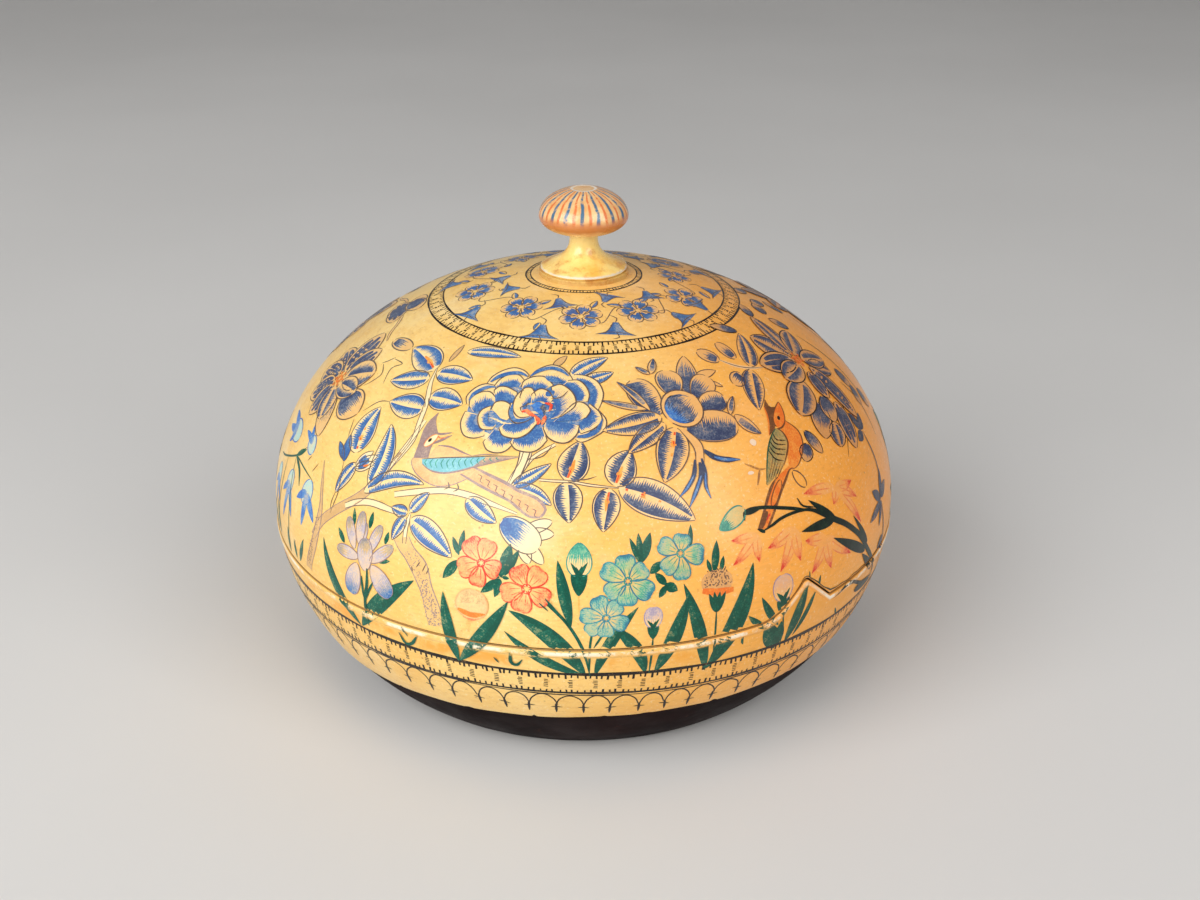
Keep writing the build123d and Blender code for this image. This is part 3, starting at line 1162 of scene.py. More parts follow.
@dataclass
class Painter:
    """Gathers strokes by pigment and turns them into thin paint pieces on each half."""

    surface: CoatSurface
    strokes: dict[Pigment, list[Stroke]] = field(default_factory=dict)
    first_lift: float = 0.03
    layer_lift: float = 0.005
    cut_margin: float = 0.0002
    least_area: float = 0.001
    lid_map_reach: float = math.radians(97.0)
    strips: int = 4
    strip_top: float = math.radians(80.0)
    strip_span: float = math.radians(40.0)

    def lay(self, pigment: Pigment, stroke: Stroke) -> None:
        """Add a stroke of one pigment."""
        self.strokes.setdefault(pigment, []).append(stroke)

    def joined(self, pigment: Pigment) -> tuple[Array, Array, Array, Array, Array]:
        """Put all strokes of one pigment together.

        Args:
            pigment: the paint asked for.

        Returns:
            Azimuth, polar angle, wash and layer of each point, and the faces.
        """
        parts, faces, start = [], [], 0
        for stroke in self.strokes[pigment]:
            rows, columns = stroke.azimuth.shape
            number = np.arange(rows * columns).reshape(rows, columns) + start
            faces.append(
                np.stack(
                    [number[:-1, :-1], number[1:, :-1], number[1:, 1:], number[:-1, 1:]], axis=-1
                ).reshape(-1, 4)
            )
            layer = np.full(rows * columns, float(stroke.layer))
            parts.append(
                np.stack([stroke.azimuth.ravel(), stroke.polar.ravel(), stroke.wash.ravel(), layer])
            )
            start += rows * columns
        azimuth, polar, wash, layer = np.concatenate(parts, axis=1)
        return azimuth, polar, wash, layer, np.concatenate(faces)

    def piece(self, pigment: Pigment, half: Half) -> bpy.types.Object | None:
        """Make the paint of one pigment on one half, clipped at the cut.

        Args:
            pigment: the paint.
            half: the half of the box.

        Returns:
            The paint as one piece, or nothing where that half has none.
        """
        azimuth, polar, wash, layer, faces = self.joined(pigment)
        cut = self.surface.cut.polar(azimuth, half)
        side = 1.0 if half is Half.BASE else -1.0
        inside = (polar - cut) * side > 0
        faces = faces[inside[faces].any(axis=1)]
        if len(faces) == 0:
            return None
        polar = np.where(inside, polar, cut + side * self.cut_margin)
        used, faces = np.unique(faces, return_inverse=True)
        faces = faces.reshape(-1, 4)
        lift = self.first_lift + self.layer_lift * layer[used]
        points = self.surface.point(azimuth[used], polar[used], half, lift)
        corner = points[faces]
        facing = np.einsum(
            "ij,ij->i", np.cross(corner[:, 2] - corner[:, 0], corner[:, 3] - corner[:, 1]),
            corner.mean(axis=1) - np.array([0.0, 0.0, self.surface.form.widest]),
        )
        faces = np.where(facing[:, None] < 0, faces[:, ::-1], faces)
        faces = faces[np.abs(facing) > self.least_area]
        used_again, faces = np.unique(faces, return_inverse=True)
        name = f"{half.value}_paint_{pigment.value}"
        azimuth, polar = azimuth[used][used_again], polar[used][used_again]
        values = {"wash": wash[used][used_again], "under": self.surface.under(azimuth, polar, half)}
        piece = make_mesh(name, points[used_again], faces.reshape(-1, 4), 80.0, values)
        self.bake_map(piece, azimuth, polar, half)
        return piece

    def bake_map(self, piece: bpy.types.Object, azimuth: Array, polar: Array, half: Half) -> None:
        """Give a paint piece a flat map of the box, seen from the crown or unrolled in 4 strips.

        Args:
            piece: the paint piece.
            azimuth: where around the box each point is.
            polar: how far down each point is.
            half: the half of the box.
        """
        loops = np.empty(len(piece.data.loops), np.int32)
        piece.data.loops.foreach_get("vertex_index", loops)
        azimuth, polar = azimuth[loops].reshape(-1, 4), polar[loops].reshape(-1, 4)
        if half is Half.LID:
            spread = 0.49 * polar / self.lid_map_reach
            along, down = 0.5 + spread * np.sin(azimuth), 0.5 - spread * np.cos(azimuth)
        else:
            turns = (azimuth % (2 * np.pi)) / (2 * np.pi) * self.strips
            strip = np.floor(turns.min(axis=1, keepdims=True))
            wide = turns.max(axis=1, keepdims=True) - strip > self.strips / 2
            strip = np.where(wide, self.strips - 1.0, strip)
            turns = np.where(wide & (turns < self.strips / 2), turns + self.strips, turns)
            along = np.clip((turns - strip) * 0.9 + 0.02, 0.0, 1.0)
            down = (polar - self.strip_top) / self.strip_span
            down = (strip + np.clip(down, 0.02, 0.98)) / self.strips
        layer = piece.data.uv_layers.new(name="OFBake")
        flat = np.stack([along, down], axis=-1)
        layer.data.foreach_set("uv", flat.astype(np.float32).ravel())


def smooth_line(points: Sequence[Point], step: float) -> Array:
    """Draw a smooth line through points.

    Args:
        points: the points it passes.
        step: distance between the line's own points.

    Returns:
        Rows of x and y.
    """
    knots = np.array(points, float)
    knots = np.vstack([2 * knots[0] - knots[1], knots, 2 * knots[-1] - knots[-2]])
    parts = []
    for i in range(1, len(knots) - 2):
        before, start, end, after = knots[i - 1 : i + 3]
        count = max(2, int(np.ceil(np.linalg.norm(end - start) / step)))
        t = np.linspace(0, 1, count, endpoint=False)[:, None]
        square = 2 * before - 5 * start + 4 * end - after
        cube = 3 * start - before - 3 * end + after
        parts.append(0.5 * (2 * start + (end - before) * t + square * t**2 + cube * t**3))
    parts.append(knots[-2:-1])
    return np.concatenate(parts)


def edge_lines(path: Array, width: float, ends: tuple[float, float]) -> tuple[Array, Array]:
    """Give the two sides of a line that swells and thins.

    Args:
        path: rows of x and y along its middle.
        width: its greatest width.
        ends: width at its start and end, as a share of the greatest.

    Returns:
        The left side and the right side.
    """
    tangent = np.gradient(path, axis=0)
    length = np.linalg.norm(tangent, axis=1, keepdims=True)
    tangent = tangent / np.maximum(length, 1e-9)
    side = np.stack([-tangent[:, 1], tangent[:, 0]], axis=1)
    t = np.linspace(0, 1, len(path))
    swell = np.minimum(
        ends[0] + (1 - ends[0]) * np.clip(t / 0.22, 0, 1),
        ends[1] + (1 - ends[1]) * np.clip((1 - t) / 0.3, 0, 1),
    )
    half = (width / 2 * swell)[:, None]
    return path + side * half, path - side * half


class Marking(Enum):
    """How the blue is laid on a long petal."""

    RIBBED = "three ribs and a dark corner"
    HALVED = "two halves beside a pale midrib"
    ROOTED = "dark from the root to the middle"


@dataclass(frozen=True)
class Blade:
    """A leaf or petal about a bent spine: t runs from base to tip and s across, from -1 to 1."""

    base: Point
    tip: Point
    width: float
    bend: float = 0.0
    full: float = 0.75
    blunt: float = 0.95

    def at(self, t: Array, s: Array) -> Array:
        """Give points of the shape.

        Args:
            t: share of the way from base to tip.
            s: share of the way from the spine to the left edge.

        Returns:
            Rows of x and y.
        """
        t = np.clip(t, 0.006, 0.994)[..., None]
        base, tip = np.array(self.base, float), np.array(self.tip, float)
        along = tip - base
        middle = (base + tip) / 2 + np.array([-along[1], along[0]]) * (
            self.bend / np.linalg.norm(along)
        )
        spine = (1 - t) ** 2 * base + 2 * t * (1 - t) * middle + t**2 * tip
        tangent = 2 * (1 - t) * (middle - base) + 2 * t * (tip - middle)
        tangent = tangent / np.linalg.norm(tangent, axis=-1, keepdims=True)
        side = np.stack([-tangent[..., 1], tangent[..., 0]], axis=-1)
        peak = self.full / (self.full + self.blunt)
        half = self.width / 2 * t**self.full * (1 - t) ** self.blunt
        half = half / (peak**self.full * (1 - peak) ** self.blunt)
        return spine + side * half * s[..., None]

    def spans(self) -> tuple[float, float]:
        """Give the length and the width."""
        return math.dist(self.base, self.tip), self.width


def oval(base: Point, tip: Point, width: float) -> Blade:
    """Give a straight shape that is round at both ends."""
    return Blade(base, tip, width, 0.0, 0.5, 0.5)


@dataclass(frozen=True)
class Scallop:
    """A petal between two drawn lines: t runs from its root line to its rim, s along them."""

    root: tuple[Point, ...]
    rim: tuple[Point, ...]

    def at(self, t: Array, s: Array) -> Array:
        """Give points of the shape.

        Args:
            t: share of the way from the root to the rim.
            s: share of the way along, from -1 to 1.

        Returns:
            Rows of x and y.
        """
        lines = []
        for drawn in (self.root, self.rim):
            line = smooth_line(drawn, 0.2)
            gone = np.linspace(-1, 1, len(line))
            lines.append(np.stack([np.interp(s, gone, line[:, k]) for k in (0, 1)], axis=-1))
        return lines[0] + (lines[1] - lines[0]) * t[..., None]

    def spans(self) -> tuple[float, float]:
        """Give the depth and the length of the rim."""
        line = smooth_line(self.rim, 0.2)
        depth = math.dist(np.mean(self.root, axis=0), np.mean(self.rim, axis=0))
        return depth, float(np.linalg.norm(np.diff(line, axis=0), axis=1).sum())


def uneven_teeth(count: int, reach: float, tooth: float) -> Array:
    """Give where the paint ends along a comb: valleys at its solid edge, uneven teeth between.

    Args:
        count: number of places along the comb.
        reach: where the solid part ends.
        tooth: where an average tooth ends.

    Returns:
        The end at each place.
    """
    chance = np.random.default_rng(count)
    long = tooth + (tooth - reach) * chance.uniform(-0.4, 0.22, count)
    short = reach + (tooth - reach) * chance.uniform(-0.16, 0.24, count)
    return np.where(np.arange(count) % 2 == 1, long, short)


@dataclass
class Brush:
    """Paints on one card. Every motif drawn later lies over the ones before it."""

    painter: Painter
    card: Card | RingStrip
    layer: int = 0
    step: float = 1.0
    pale: Pigment = Pigment.CREAM
    blue: Pigment = Pigment.BLUE
    ink: Pigment = Pigment.UMBER

    def grid(self, pigment: Pigment, drawn: Array, wash: Array | float, up: int) -> None:
        """Lay a grid of drawn points.

        Args:
            pigment: the paint.
            drawn: rows and columns of x and y.
            wash: strength of the paint, for each row, each point or all.
            up: how many layers it lies above this brush's own.
        """
        azimuth, polar = self.card.place(drawn)
        strength = np.asarray(wash, float)
        if strength.ndim == 1:
            strength = strength[:, None]
        self.painter.lay(
            pigment,
            Stroke(azimuth, polar, np.broadcast_to(strength, azimuth.shape), self.layer + up),
        )

    def line(
        self, pigment: Pigment, points: Sequence[Point], width: float = 0.28, wash: float = 1.0,
        up: int = 3, ends: tuple[float, float] = (0.4, 0.25),
    ) -> None:
        """Draw a smooth line that swells and thins.

        Args:
            pigment: the paint.
            points: the points that it passes.
            width: its greatest width.
            wash: strength of the paint.
            up: how many layers it lies above this brush's own.
            ends: width at its start and end, as a share of the greatest.
        """
        self.stroke_along(pigment, smooth_line(points, self.step), width, wash, up, ends)

    def stroke_along(
        self, pigment: Pigment, path: Array, width: float, wash: float = 1.0, up: int = 3,
        ends: tuple[float, float] = (0.4, 0.25),
    ) -> None:
        """Draw along a path of close points, as line does.

        Args:
            pigment: the paint.
            path: rows of x and y.
            width: its greatest width.
            wash: strength of the paint.
            up: how many layers it lies above this brush's own.
            ends: width at its start and end, as a share of the greatest.
        """
        self.grid(pigment, np.stack(edge_lines(path, width, ends), axis=1), wash, up)

    def vine(
        self, points: Sequence[Point], width: float, body: Pigment = Pigment.CREAM,
        edge: Pigment = Pigment.UMBER, ends: tuple[float, float] = (0.9, 0.3),
    ) -> None:
        """Draw a stem with a thin line along each side.

        Args:
            points: the points that it passes, from its root.
            width: its greatest width.
            body: the paint of the stem.
            edge: the paint of its sides.
            ends: width at its root and tip, as a share of the greatest.
        """
        path = smooth_line(points, self.step)
        left, right = edge_lines(path, width, ends)
        self.grid(body, np.stack([left, right], axis=1), 1.0, 0)
        for side in (left, right):
            self.stroke_along(edge, side, 0.2, 0.9, 1, (0.8, 0.6))

    def stipple(
        self, pigment: Pigment, corners: Sequence[Point], count: int, size: float = 0.24
    ) -> None:
        """Scatter short dabs over a four-cornered patch.

        Args:
            pigment: the paint.
            corners: the patch's corners in order.
            count: how many dabs.
            size: length of a dab.
        """
        chance = np.random.default_rng(count)
        place = np.array(corners, float)
        for u, v, angle, long in chance.uniform(0, 1, (count, 4)):
            low = place[0] * (1 - u) + place[1] * u
            high = place[3] * (1 - u) + place[2] * u
            middle = low * (1 - v) + high * v
            turn = angle * np.pi
            along = np.array([math.cos(turn), math.sin(turn)]) * size * (0.5 + long)
            side = np.array([-along[1], along[0]]) / np.linalg.norm(along) * size * 0.3
            ends = ((middle - side, middle + side), (middle + along - side, middle + along + side))
            self.grid(pigment, np.array(ends), 0.9, 2)

    def band(
        self, pigment: Pigment, first: Sequence[Point], second: Sequence[Point],
        wash: tuple[float, float] = (1.0, 1.0), up: int = 0,
    ) -> None:
        """Fill the space between two smooth lines.

        Args:
            pigment: the paint.
            first: points of one line.
            second: points of the other, running the same way.
            wash: strength of the paint at the first and at the second line.
            up: how many layers it lies above this brush's own.
        """
        near, far = smooth_line(first, 0.2), smooth_line(second, 0.2)
        span = max(
            np.linalg.norm(np.diff(near, axis=0), axis=1).sum(),
            np.linalg.norm(np.diff(far, axis=0), axis=1).sum(),
        )
        columns = max(4, int(span / self.step) + 1)
        t = np.linspace(0, 1, columns)
        lines = [
            np.stack([np.interp(t, np.linspace(0, 1, len(a)), a[:, k]) for k in (0, 1)], axis=1)
            for a in (near, far)
        ]
        rows = max(2, int(np.linalg.norm(lines[1] - lines[0], axis=1).max() / self.step) + 2)
        share = np.linspace(0, 1, rows)
        drawn = lines[0][None] * (1 - share)[:, None, None] + lines[1][None] * share[:, None, None]
        self.grid(pigment, drawn, wash[0] + (wash[1] - wash[0]) * share, up)

    def fill(
        self, shape: Blade | Scallop, pigment: Pigment, wash: tuple[float, float] = (1.0, 1.0),
        t: tuple[float, float] = (0.0, 1.0), s: tuple[float, float] = (-1.0, 1.0), up: int = 0,
    ) -> None:
        """Fill part of a shape.

        Args:
            shape: the leaf or petal.
            pigment: the paint.
            wash: strength of the paint at the low and high ends of t.
            t: the share of its length to fill.
            s: the share of its width to fill.
            up: how many layers it lies above this brush's own.
        """
        length, width = shape.spans()
        rows = max(6, int(length * (t[1] - t[0]) / self.step) + 2)
        columns = max(3, int(width * (s[1] - s[0]) / 2 / self.step) + 2)
        share = (1 - np.cos(np.pi * np.linspace(0, 1, rows))) / 2
        along, across = np.meshgrid(
            t[0] + (t[1] - t[0]) * share, np.linspace(*s, columns), indexing="ij"
        )
        self.grid(pigment, shape.at(along, across), wash[0] + (wash[1] - wash[0]) * share, up)

    def comb_side(
        self, shape: Blade, pigment: Pigment, root: float, reach: float, tooth: float,
        t: tuple[float, float] = (0.07, 0.93), wash: tuple[float, float] = (1.0, 0.6), up: int = 1,
    ) -> None:
        """Fill one side of a leaf with fine teeth along the far edge of the paint.

        Args:
            shape: the leaf.
            pigment: the paint.
            root: where across the leaf the paint starts.
            reach: where its solid part ends.
            tooth: where its teeth end.
            t: the share of its length to paint.
            wash: strength of the paint at its root and at its teeth.
            up: how many layers it lies above this brush's own.
        """
        length, width = shape.spans()
        teeth = max(4, int(length * (t[1] - t[0]) / TOOTH_SPACING))
        along = np.linspace(t[0], t[1], 2 * teeth + 1)
        ends = uneven_teeth(len(along), reach, tooth)
        rows = max(2, int(width * abs(tooth - root) / 2 / self.step) + 2)
        share = np.linspace(0, 1, rows)[:, None]
        lean = 0.02 * (ends - root) * share
        drawn = shape.at(np.clip(along + lean, 0, 1), root + (ends - root) * share)
        self.grid(pigment, drawn, wash[0] + (wash[1] - wash[0]) * share[:, 0], up)

    def comb_end(
        self, shape: Blade | Scallop, pigment: Pigment, start: float, reach: float, tooth: float,
        s: tuple[float, float] = (-0.86, 0.86), wash: tuple[float, float] = (1.0, 0.6), up: int = 1,
        slope: float = 0.0,
    ) -> None:
        """Fill one end of a petal with fine teeth along the far edge of the paint.

        Args:
            shape: the petal.
            pigment: the paint.
            start: where along the petal the paint starts.
            reach: where its solid part ends.
            tooth: where its teeth end.
            s: the share of its width to paint.
            wash: strength of the paint at its start and at its teeth.
            up: how many layers it lies above this brush's own.
            slope: how much further the paint reaches on the left than on the right.
        """
        length, width = shape.spans()
        teeth = max(3, int(width * (s[1] - s[0]) / 2 / TOOTH_SPACING))
        across = np.linspace(s[0], s[1], 2 * teeth + 1)
        ends = uneven_teeth(len(across), reach, tooth)
        ends = ends + slope * across - 0.12 * (tooth - start) * across**2
        rows = max(2, int(length * abs(tooth - start) / self.step) + 2)
        share = np.linspace(0, 1, rows)[:, None]
        drawn = shape.at(np.clip(start + (ends - start) * share, 0, 1), across + 0 * share)
        self.grid(pigment, drawn, wash[0] + (wash[1] - wash[0]) * share[:, 0], up)

    def outline(
        self, shape: Blade | Scallop, pigment: Pigment | None = None, width: float = 0.26,
        t: tuple[float, float] = (0.0, 1.0), up: int = 2,
    ) -> None:
        """Draw the edge of a shape.

        Args:
            shape: the leaf or petal.
            pigment: the paint, or None for the brush's own ink.
            width: width of the line.
            t: the share of its sides to draw.
            up: how many layers it lies above this brush's own.
        """
        pigment = pigment or self.ink
        length, rim = shape.spans()
        share = np.linspace(0, 1, max(5, int(length / self.step * 1.4) + 2))
        share = t[0] + (t[1] - t[0]) * (1 - np.cos(np.pi * share)) / 2
        if isinstance(shape, Blade):
            for side in (-1.0, 1.0):
                path = shape.at(share, np.full_like(share, side))
                self.stroke_along(pigment, path, width, 1.0, up, (0.5, 0.5))
            return
        across = np.linspace(-1, 1, max(7, int(rim / self.step * 1.6) + 2))
        sides = share[share > 0.5]
        path = np.concatenate(
            [
                shape.at(sides[:-1], np.full(len(sides) - 1, -1.0)),
                shape.at(np.ones_like(across), across),
                shape.at(sides[-2::-1], np.ones(len(sides) - 1)),
            ]
        )
        self.stroke_along(pigment, path, width, 1.0, up, (0.5, 0.5))

    def edged(
        self, shape: Blade | Scallop, pigment: Pigment, edge: Pigment | None = None,
        line: float = 0.26, wash: tuple[float, float] = (1.0, 1.0),
    ) -> None:
        """Fill a shape and draw its edge.

        Args:
            shape: the leaf or petal.
            pigment: the paint that fills it.
            edge: the paint of its edge, or None for the brush's own ink.
            line: width of the edge.
            wash: strength of the fill at the base and at the tip.
        """
        self.fill(shape, pigment, wash)
        self.outline(shape, edge, line)


class FlowerBrush(Brush):
    """A brush that knows the leaves, petals and blooms of the decoration."""

    def blue_leaf(
        self, base: Point, tip: Point, width: float, bend: float = 0.0, touch: bool = False
    ) -> None:
        """Draw a leaf with two blue halves and a pale midrib.

        Args:
            base: where the leaf starts.
            tip: where it ends.
            width: its width.
            bend: how far its spine bows to the left.
            touch: whether it has a red touch near its base.
        """
        leaf = Blade(base, tip, width, bend, 0.6, 0.9)
        self.fill(leaf, self.pale, (0.5, 0.5))
        self.comb_side(leaf, self.blue, 0.1, 0.5, 0.88, wash=(1, 0.7))
        self.comb_side(leaf, self.blue, -0.88, -0.5, -0.12, wash=(1, 0.7))
        if touch:
            ends = leaf.at(np.array([0.08, 0.3, 0.52]), np.zeros(3))
            self.stroke_along(Pigment.ORANGE, ends, width * 0.18, 0.7, 2)
            self.stroke_along(Pigment.CORAL, ends[:2], width * 0.12, 1, 2)
        self.outline(leaf)

    def blue_petal(
        self, petal: Blade, start: float = 0.06, reach: float = 0.5, tooth: float = 0.82,
        slope: float = 0.0, line: float = 0.26, wash: tuple[float, float] = (1.0, 0.6),
    ) -> None:
        """Draw a pale petal with blue that thins into fine teeth.

        Args:
            petal: the petal's shape.
            start: where along it the blue starts.
            reach: where the solid blue ends.
            tooth: where the teeth end.
            slope: how much further the blue reaches on the left.
            line: width of the outline.
            wash: strength of the blue at its start and at its teeth.
        """
        self.fill(petal, self.pale)
        self.comb_end(petal, self.blue, start, reach, tooth, slope=slope, wash=wash)
        self.outline(petal, None, line)
        self.layer += 3

    def peony(self) -> None:
        """Draw a full ruffled peony with a dark heart."""
        petals: tuple[tuple[tuple[Point, ...], tuple[Point, ...], float, float], ...] = (
            (((12.3, -4), (11.2, -5.3), (9.2, -6.1)), ((12.7, 0.7), (14.7, -1.6), (14.6, -4.2),
             (12.2, -6.6), (10.3, -7.6), (9.1, -7.1)), 0.24, 0.4),
            (((6.8, 7.2), (8.8, 6.3), (9.9, 4.3), (9.9, 2.7), (10.6, 1.4)), ((6, 9.2), (8.7, 9.2),
             (11.3, 8), (12.9, 5.5), (13.1, 3.1), (12.6, 0.7)), 0.46, 0.62),
            (((-2.6, 6), (0.4, 6.4), (2.4, 6.6), (5.2, 6.4)), ((-3.3, 7.5), (-2.1, 9.6),
             (0.5, 11.3), (3, 10.9), (4.9, 9.3), (6, 7.8)), 0.12, 0.4),
            (((-9.8, 4.6), (-7.4, 5.2), (-4.4, 6.2)), ((-12.4, 5.5), (-11.5, 7.5), (-9.3, 9.3),
             (-7, 10), (-4.8, 9.3), (-3.5, 8.1)), 0.1, 0.36),
            (((-14.6, -0.6), (-12.6, 1.6), (-10, 2.4)), ((-16, 0), (-16.4, 1.9), (-15, 4.1),
             (-12.9, 5.3), (-10.4, 5)), 0, 0),
            (((-13, -2.6), (-13.4, -4.6), (-12.4, -5.4), (-10.6, -5.6)), ((-15.9, -2), (-16.4, -5),
             (-15.2, -7.9), (-12.8, -8.6), (-10.4, -7.9)), 0.34, 0.62),
            (((-8.6, -6.4), (-7.3, -6.5), (-6.6, -7), (-4.2, -7.4)), ((-10.4, -9.4), (-9.3, -11.2),
             (-7.2, -11.8), (-5.2, -11.2), (-3.7, -9.3)), 0.42, 0.66),
            (((-3.6, -7.7), (-1.3, -6.4), (1.8, -4.8)), ((-4.5, -9), (-2.9, -10.7), (0.2, -11),
             (2, -9.9), (3.2, -7.9)), 0.46, 0.74),
            (((10.4, 0.1), (10, -1.7), (9, -3.6)), ((10.5, 2), (12.9, 0.2), (13.8, -2),
             (12.3, -4.2), (9.9, -5.6)), 0.5, 0.78),
            (((4.1, 6), (5.7, 4.8), (6.9, 3.6), (7.5, 2.1)), ((5.2, 7.4), (7.2, 7.7), (8.9, 6.5),
             (10.1, 4.4), (10.1, 2.4)), 0.5, 0.7),
            (((-9.8, 4.2), (-7.4, 4.5), (-4.9, 4.8)), ((-10.6, 4.6), (-9.8, 6.4), (-8.1, 7.9),
             (-5.8, 8), (-4.2, 6.6)), 0.34, 0.62),
            (((-4.1, 4.2), (-1.6, 3.3), (0.6, 4.6)), ((-4.5, 4.8), (-4.3, 6.4), (-2.4, 7.7),
             (0, 7.8), (2.2, 5.8)), 0.4, 0.66),
            (((-13.9, -2.1), (-12.5, -1.9), (-11.3, -0.9), (-9.5, -0.2)), ((-15.2, -0.7),
             (-15.3, 1.3), (-13.5, 2.9), (-11.2, 3.2), (-9.4, 1.6)), 0.34, 0.68),
            (((-9.6, 0.6), (-7.8, 0.6), (-5.6, -0.2), (-4.4, 0.4)), ((-10.3, 3.6), (-9.4, 4.6),
             (-7.6, 4.6), (-5.2, 3.4)), 0.5, 0.74),
            (((-10.4, -2.6), (-9.9, -4.4), (-8.2, -5)), ((-10.1, -0.4), (-12, -1.5), (-12.6, -3.6),
             (-11.4, -6.2), (-8.8, -6.3)), 0.34, 0.62),
            (((-8.6, -2.3), (-7.4, -3.4), (-6, -3.8)), ((-9.9, -1.2), (-9.4, 0.5), (-7.5, 0.9),
             (-5.7, -0.2), (-5.3, -2.6)), 0, 0.42),
            (((2.2, -3.7), (4.7, -3.3), (8, -3.6)), ((2, -5.2), (3.3, -7.2), (5.4, -8.2), (7.5, -8),
             (9.1, -5.9), (9.3, -3.7)), 0.34, 0.72),
            (((3.8, -3.4), (6.3, -2.9), (8.7, -2.6)), ((5.2, -1.6), (7, 1.2), (8.3, 2.1),
             (9.9, 1.6), (11, 0.2), (10.4, -1.6)), 0.26, 0.6),
            (((2.7, 2.4), (3, 1.6), (3.8, -0.3), (3.2, -2.8)), ((1.9, 5.2), (3.7, 6.1), (5.9, 4.9),
             (7.3, 3.1), (7.6, 0.8), (5.2, -2)), 0.2, 0.72),
            (((-6.4, -4.7), (-3.8, -4.6), (-1.8, -3.5), (-0.3, -2.3)), ((-7.4, -5.8), (-6.2, -7.6),
             (-3.3, -8), (-1.1, -6.7), (0.5, -4.1)), 0.42, 0.66),
            (((-3.2, -1.4), (-2.4, -2.4), (-1.2, -2.2)), ((-5.9, 0.6), (-5.9, -2.2), (-4.3, -4.3),
             (-2, -3.9), (-0.4, -2.4)), 0.12, 0.4),
            (((-2.2, 0.7), (-2.6, -0.4), (-1.6, -1.8)), ((-4, 4.2), (-5.2, 2), (-5.2, -1),
             (-3.6, -2.9), (-1.4, -2.6)), 0.1, 0.34),
            (((-2.4, 0.8), (-1.6, 0.8), (-0.8, 1)), ((-4.3, 2), (-3.9, 4.3), (-2.2, 4.6),
             (-1, 2.8)), 0.14, 0.5),
            (((-1.6, 0.6), (0.2, 1.4), (2, 0.8)), ((-1.9, 3), (-0.4, 4.5), (1.6, 4), (2.9, 2.2)),
             0.14, 0.55),
        )
        whole = Scallop(
            ((-15.2, -1.4), (-15.4, -5.4), (-12.6, -7.8), (-9.6, -8.8), (-6.8, -10.8), (-3.6, -9.4),
             (0, -10.2), (3, -7), (6.4, -7.4), (9.6, -6.6), (13, -4.6), (13.6, -1.6)),
            ((-15.4, -0.4), (-15.2, 2.6), (-11.4, 4.8), (-10.4, 7.4), (-6.4, 9), (-3, 7.6),
             (0.4, 10.2), (4.4, 8.6), (8.2, 8.2), (11.8, 5.2), (12, 1.8), (13.4, -1)),
        )
        self.fill(whole, self.pale, (0.6, 0.6))
        self.fill(whole, self.blue, (0.7, 0.7), (0.1, 0.9), (-0.85, 0.85), 1)
        self.layer += 2
        for root, rim, reach, tooth in petals:
            petal = Scallop(root, rim)
            self.fill(petal, self.pale, (0.36, 0.46))
            if reach > 0:
                self.comb_end(
                    petal, self.blue, 0, reach + 0.1, tooth + 0.1, (-0.94, 0.94), (1, 0.8)
                )
            self.outline(petal, None, 0.3)
            self.layer += 2
        for stripe, width in (
            ([(-11.6, 5.7), (-10.3, 7.1), (-7.9, 8.2), (-5.4, 8.4), (-3.8, 7.6)], 1),
            ([(-3.1, 7.7), (-1.6, 9.3), (0.9, 10.3), (3.2, 9.8), (5, 8.5)], 0.9),
            ([(-15.5, 0.7), (-14.9, 2.3), (-13.5, 3.5), (-11.7, 4.4), (-10.1, 4.4)], 0.9),
            ([(9.2, -6.6), (11.4, -6), (13.2, -4.6), (13.9, -1.6)], 0.9),
            ([(0.2, 7.7), (1.9, 7.2), (3.9, 6.9)], 1.5), ([(1.2, 2.8), (1.9, 3.6), (2.8, 4)], 1.5),
            ([(-5.5, 0.2), (-5.4, -2), (-4.2, -3.7), (-2, -3.4), (-0.8, -2.5)], 0.9),
        ):
            self.line(self.blue, stripe, width, 0.85, -1, (0.3, 0.3))
        curls = (
            [(-2.2, 0.9), (-2.7, 0), (-3.7, -0.6), (-3, -1.8)],
            [(2.4, 2.2), (4.4, 2.8), (5.6, 4.6)],
        )
        for curl in curls:
            self.line(Pigment.UMBER, curl, 0.26)
        heart = Scallop(
            ((-1.5, 0.2), (-0.2, -1.3), (1.5, -2.2)),
            ((-1.4, 0.3), (-0.1, 1.3), (1.6, -0.1), (1.6, -2.1)),
        )
        self.fill(heart, Pigment.AZURE, up=1)
        self.fill(heart, Pigment.DEEP, (0.7, 0.7), (0.5, 1), (0, 1), 2)
        for points, width in (
            ([(-3.2, -1.6), (-2.2, -1.2), (-1.2, -2), (0.2, -2.5)], 0.9),
            ([(1.3, 1), (2.7, 0.6), (2.5, -1)], 0.7), ([(0, -2.5), (0.8, -3.6), (0.6, -4.4)], 0.9),
            ([(1.9, -2.1), (1.8, -3.2), (1.5, -4.4)], 0.8),
        ):
            self.line(Pigment.CORAL, points, width, 0.85, 3)
        self.layer += 4

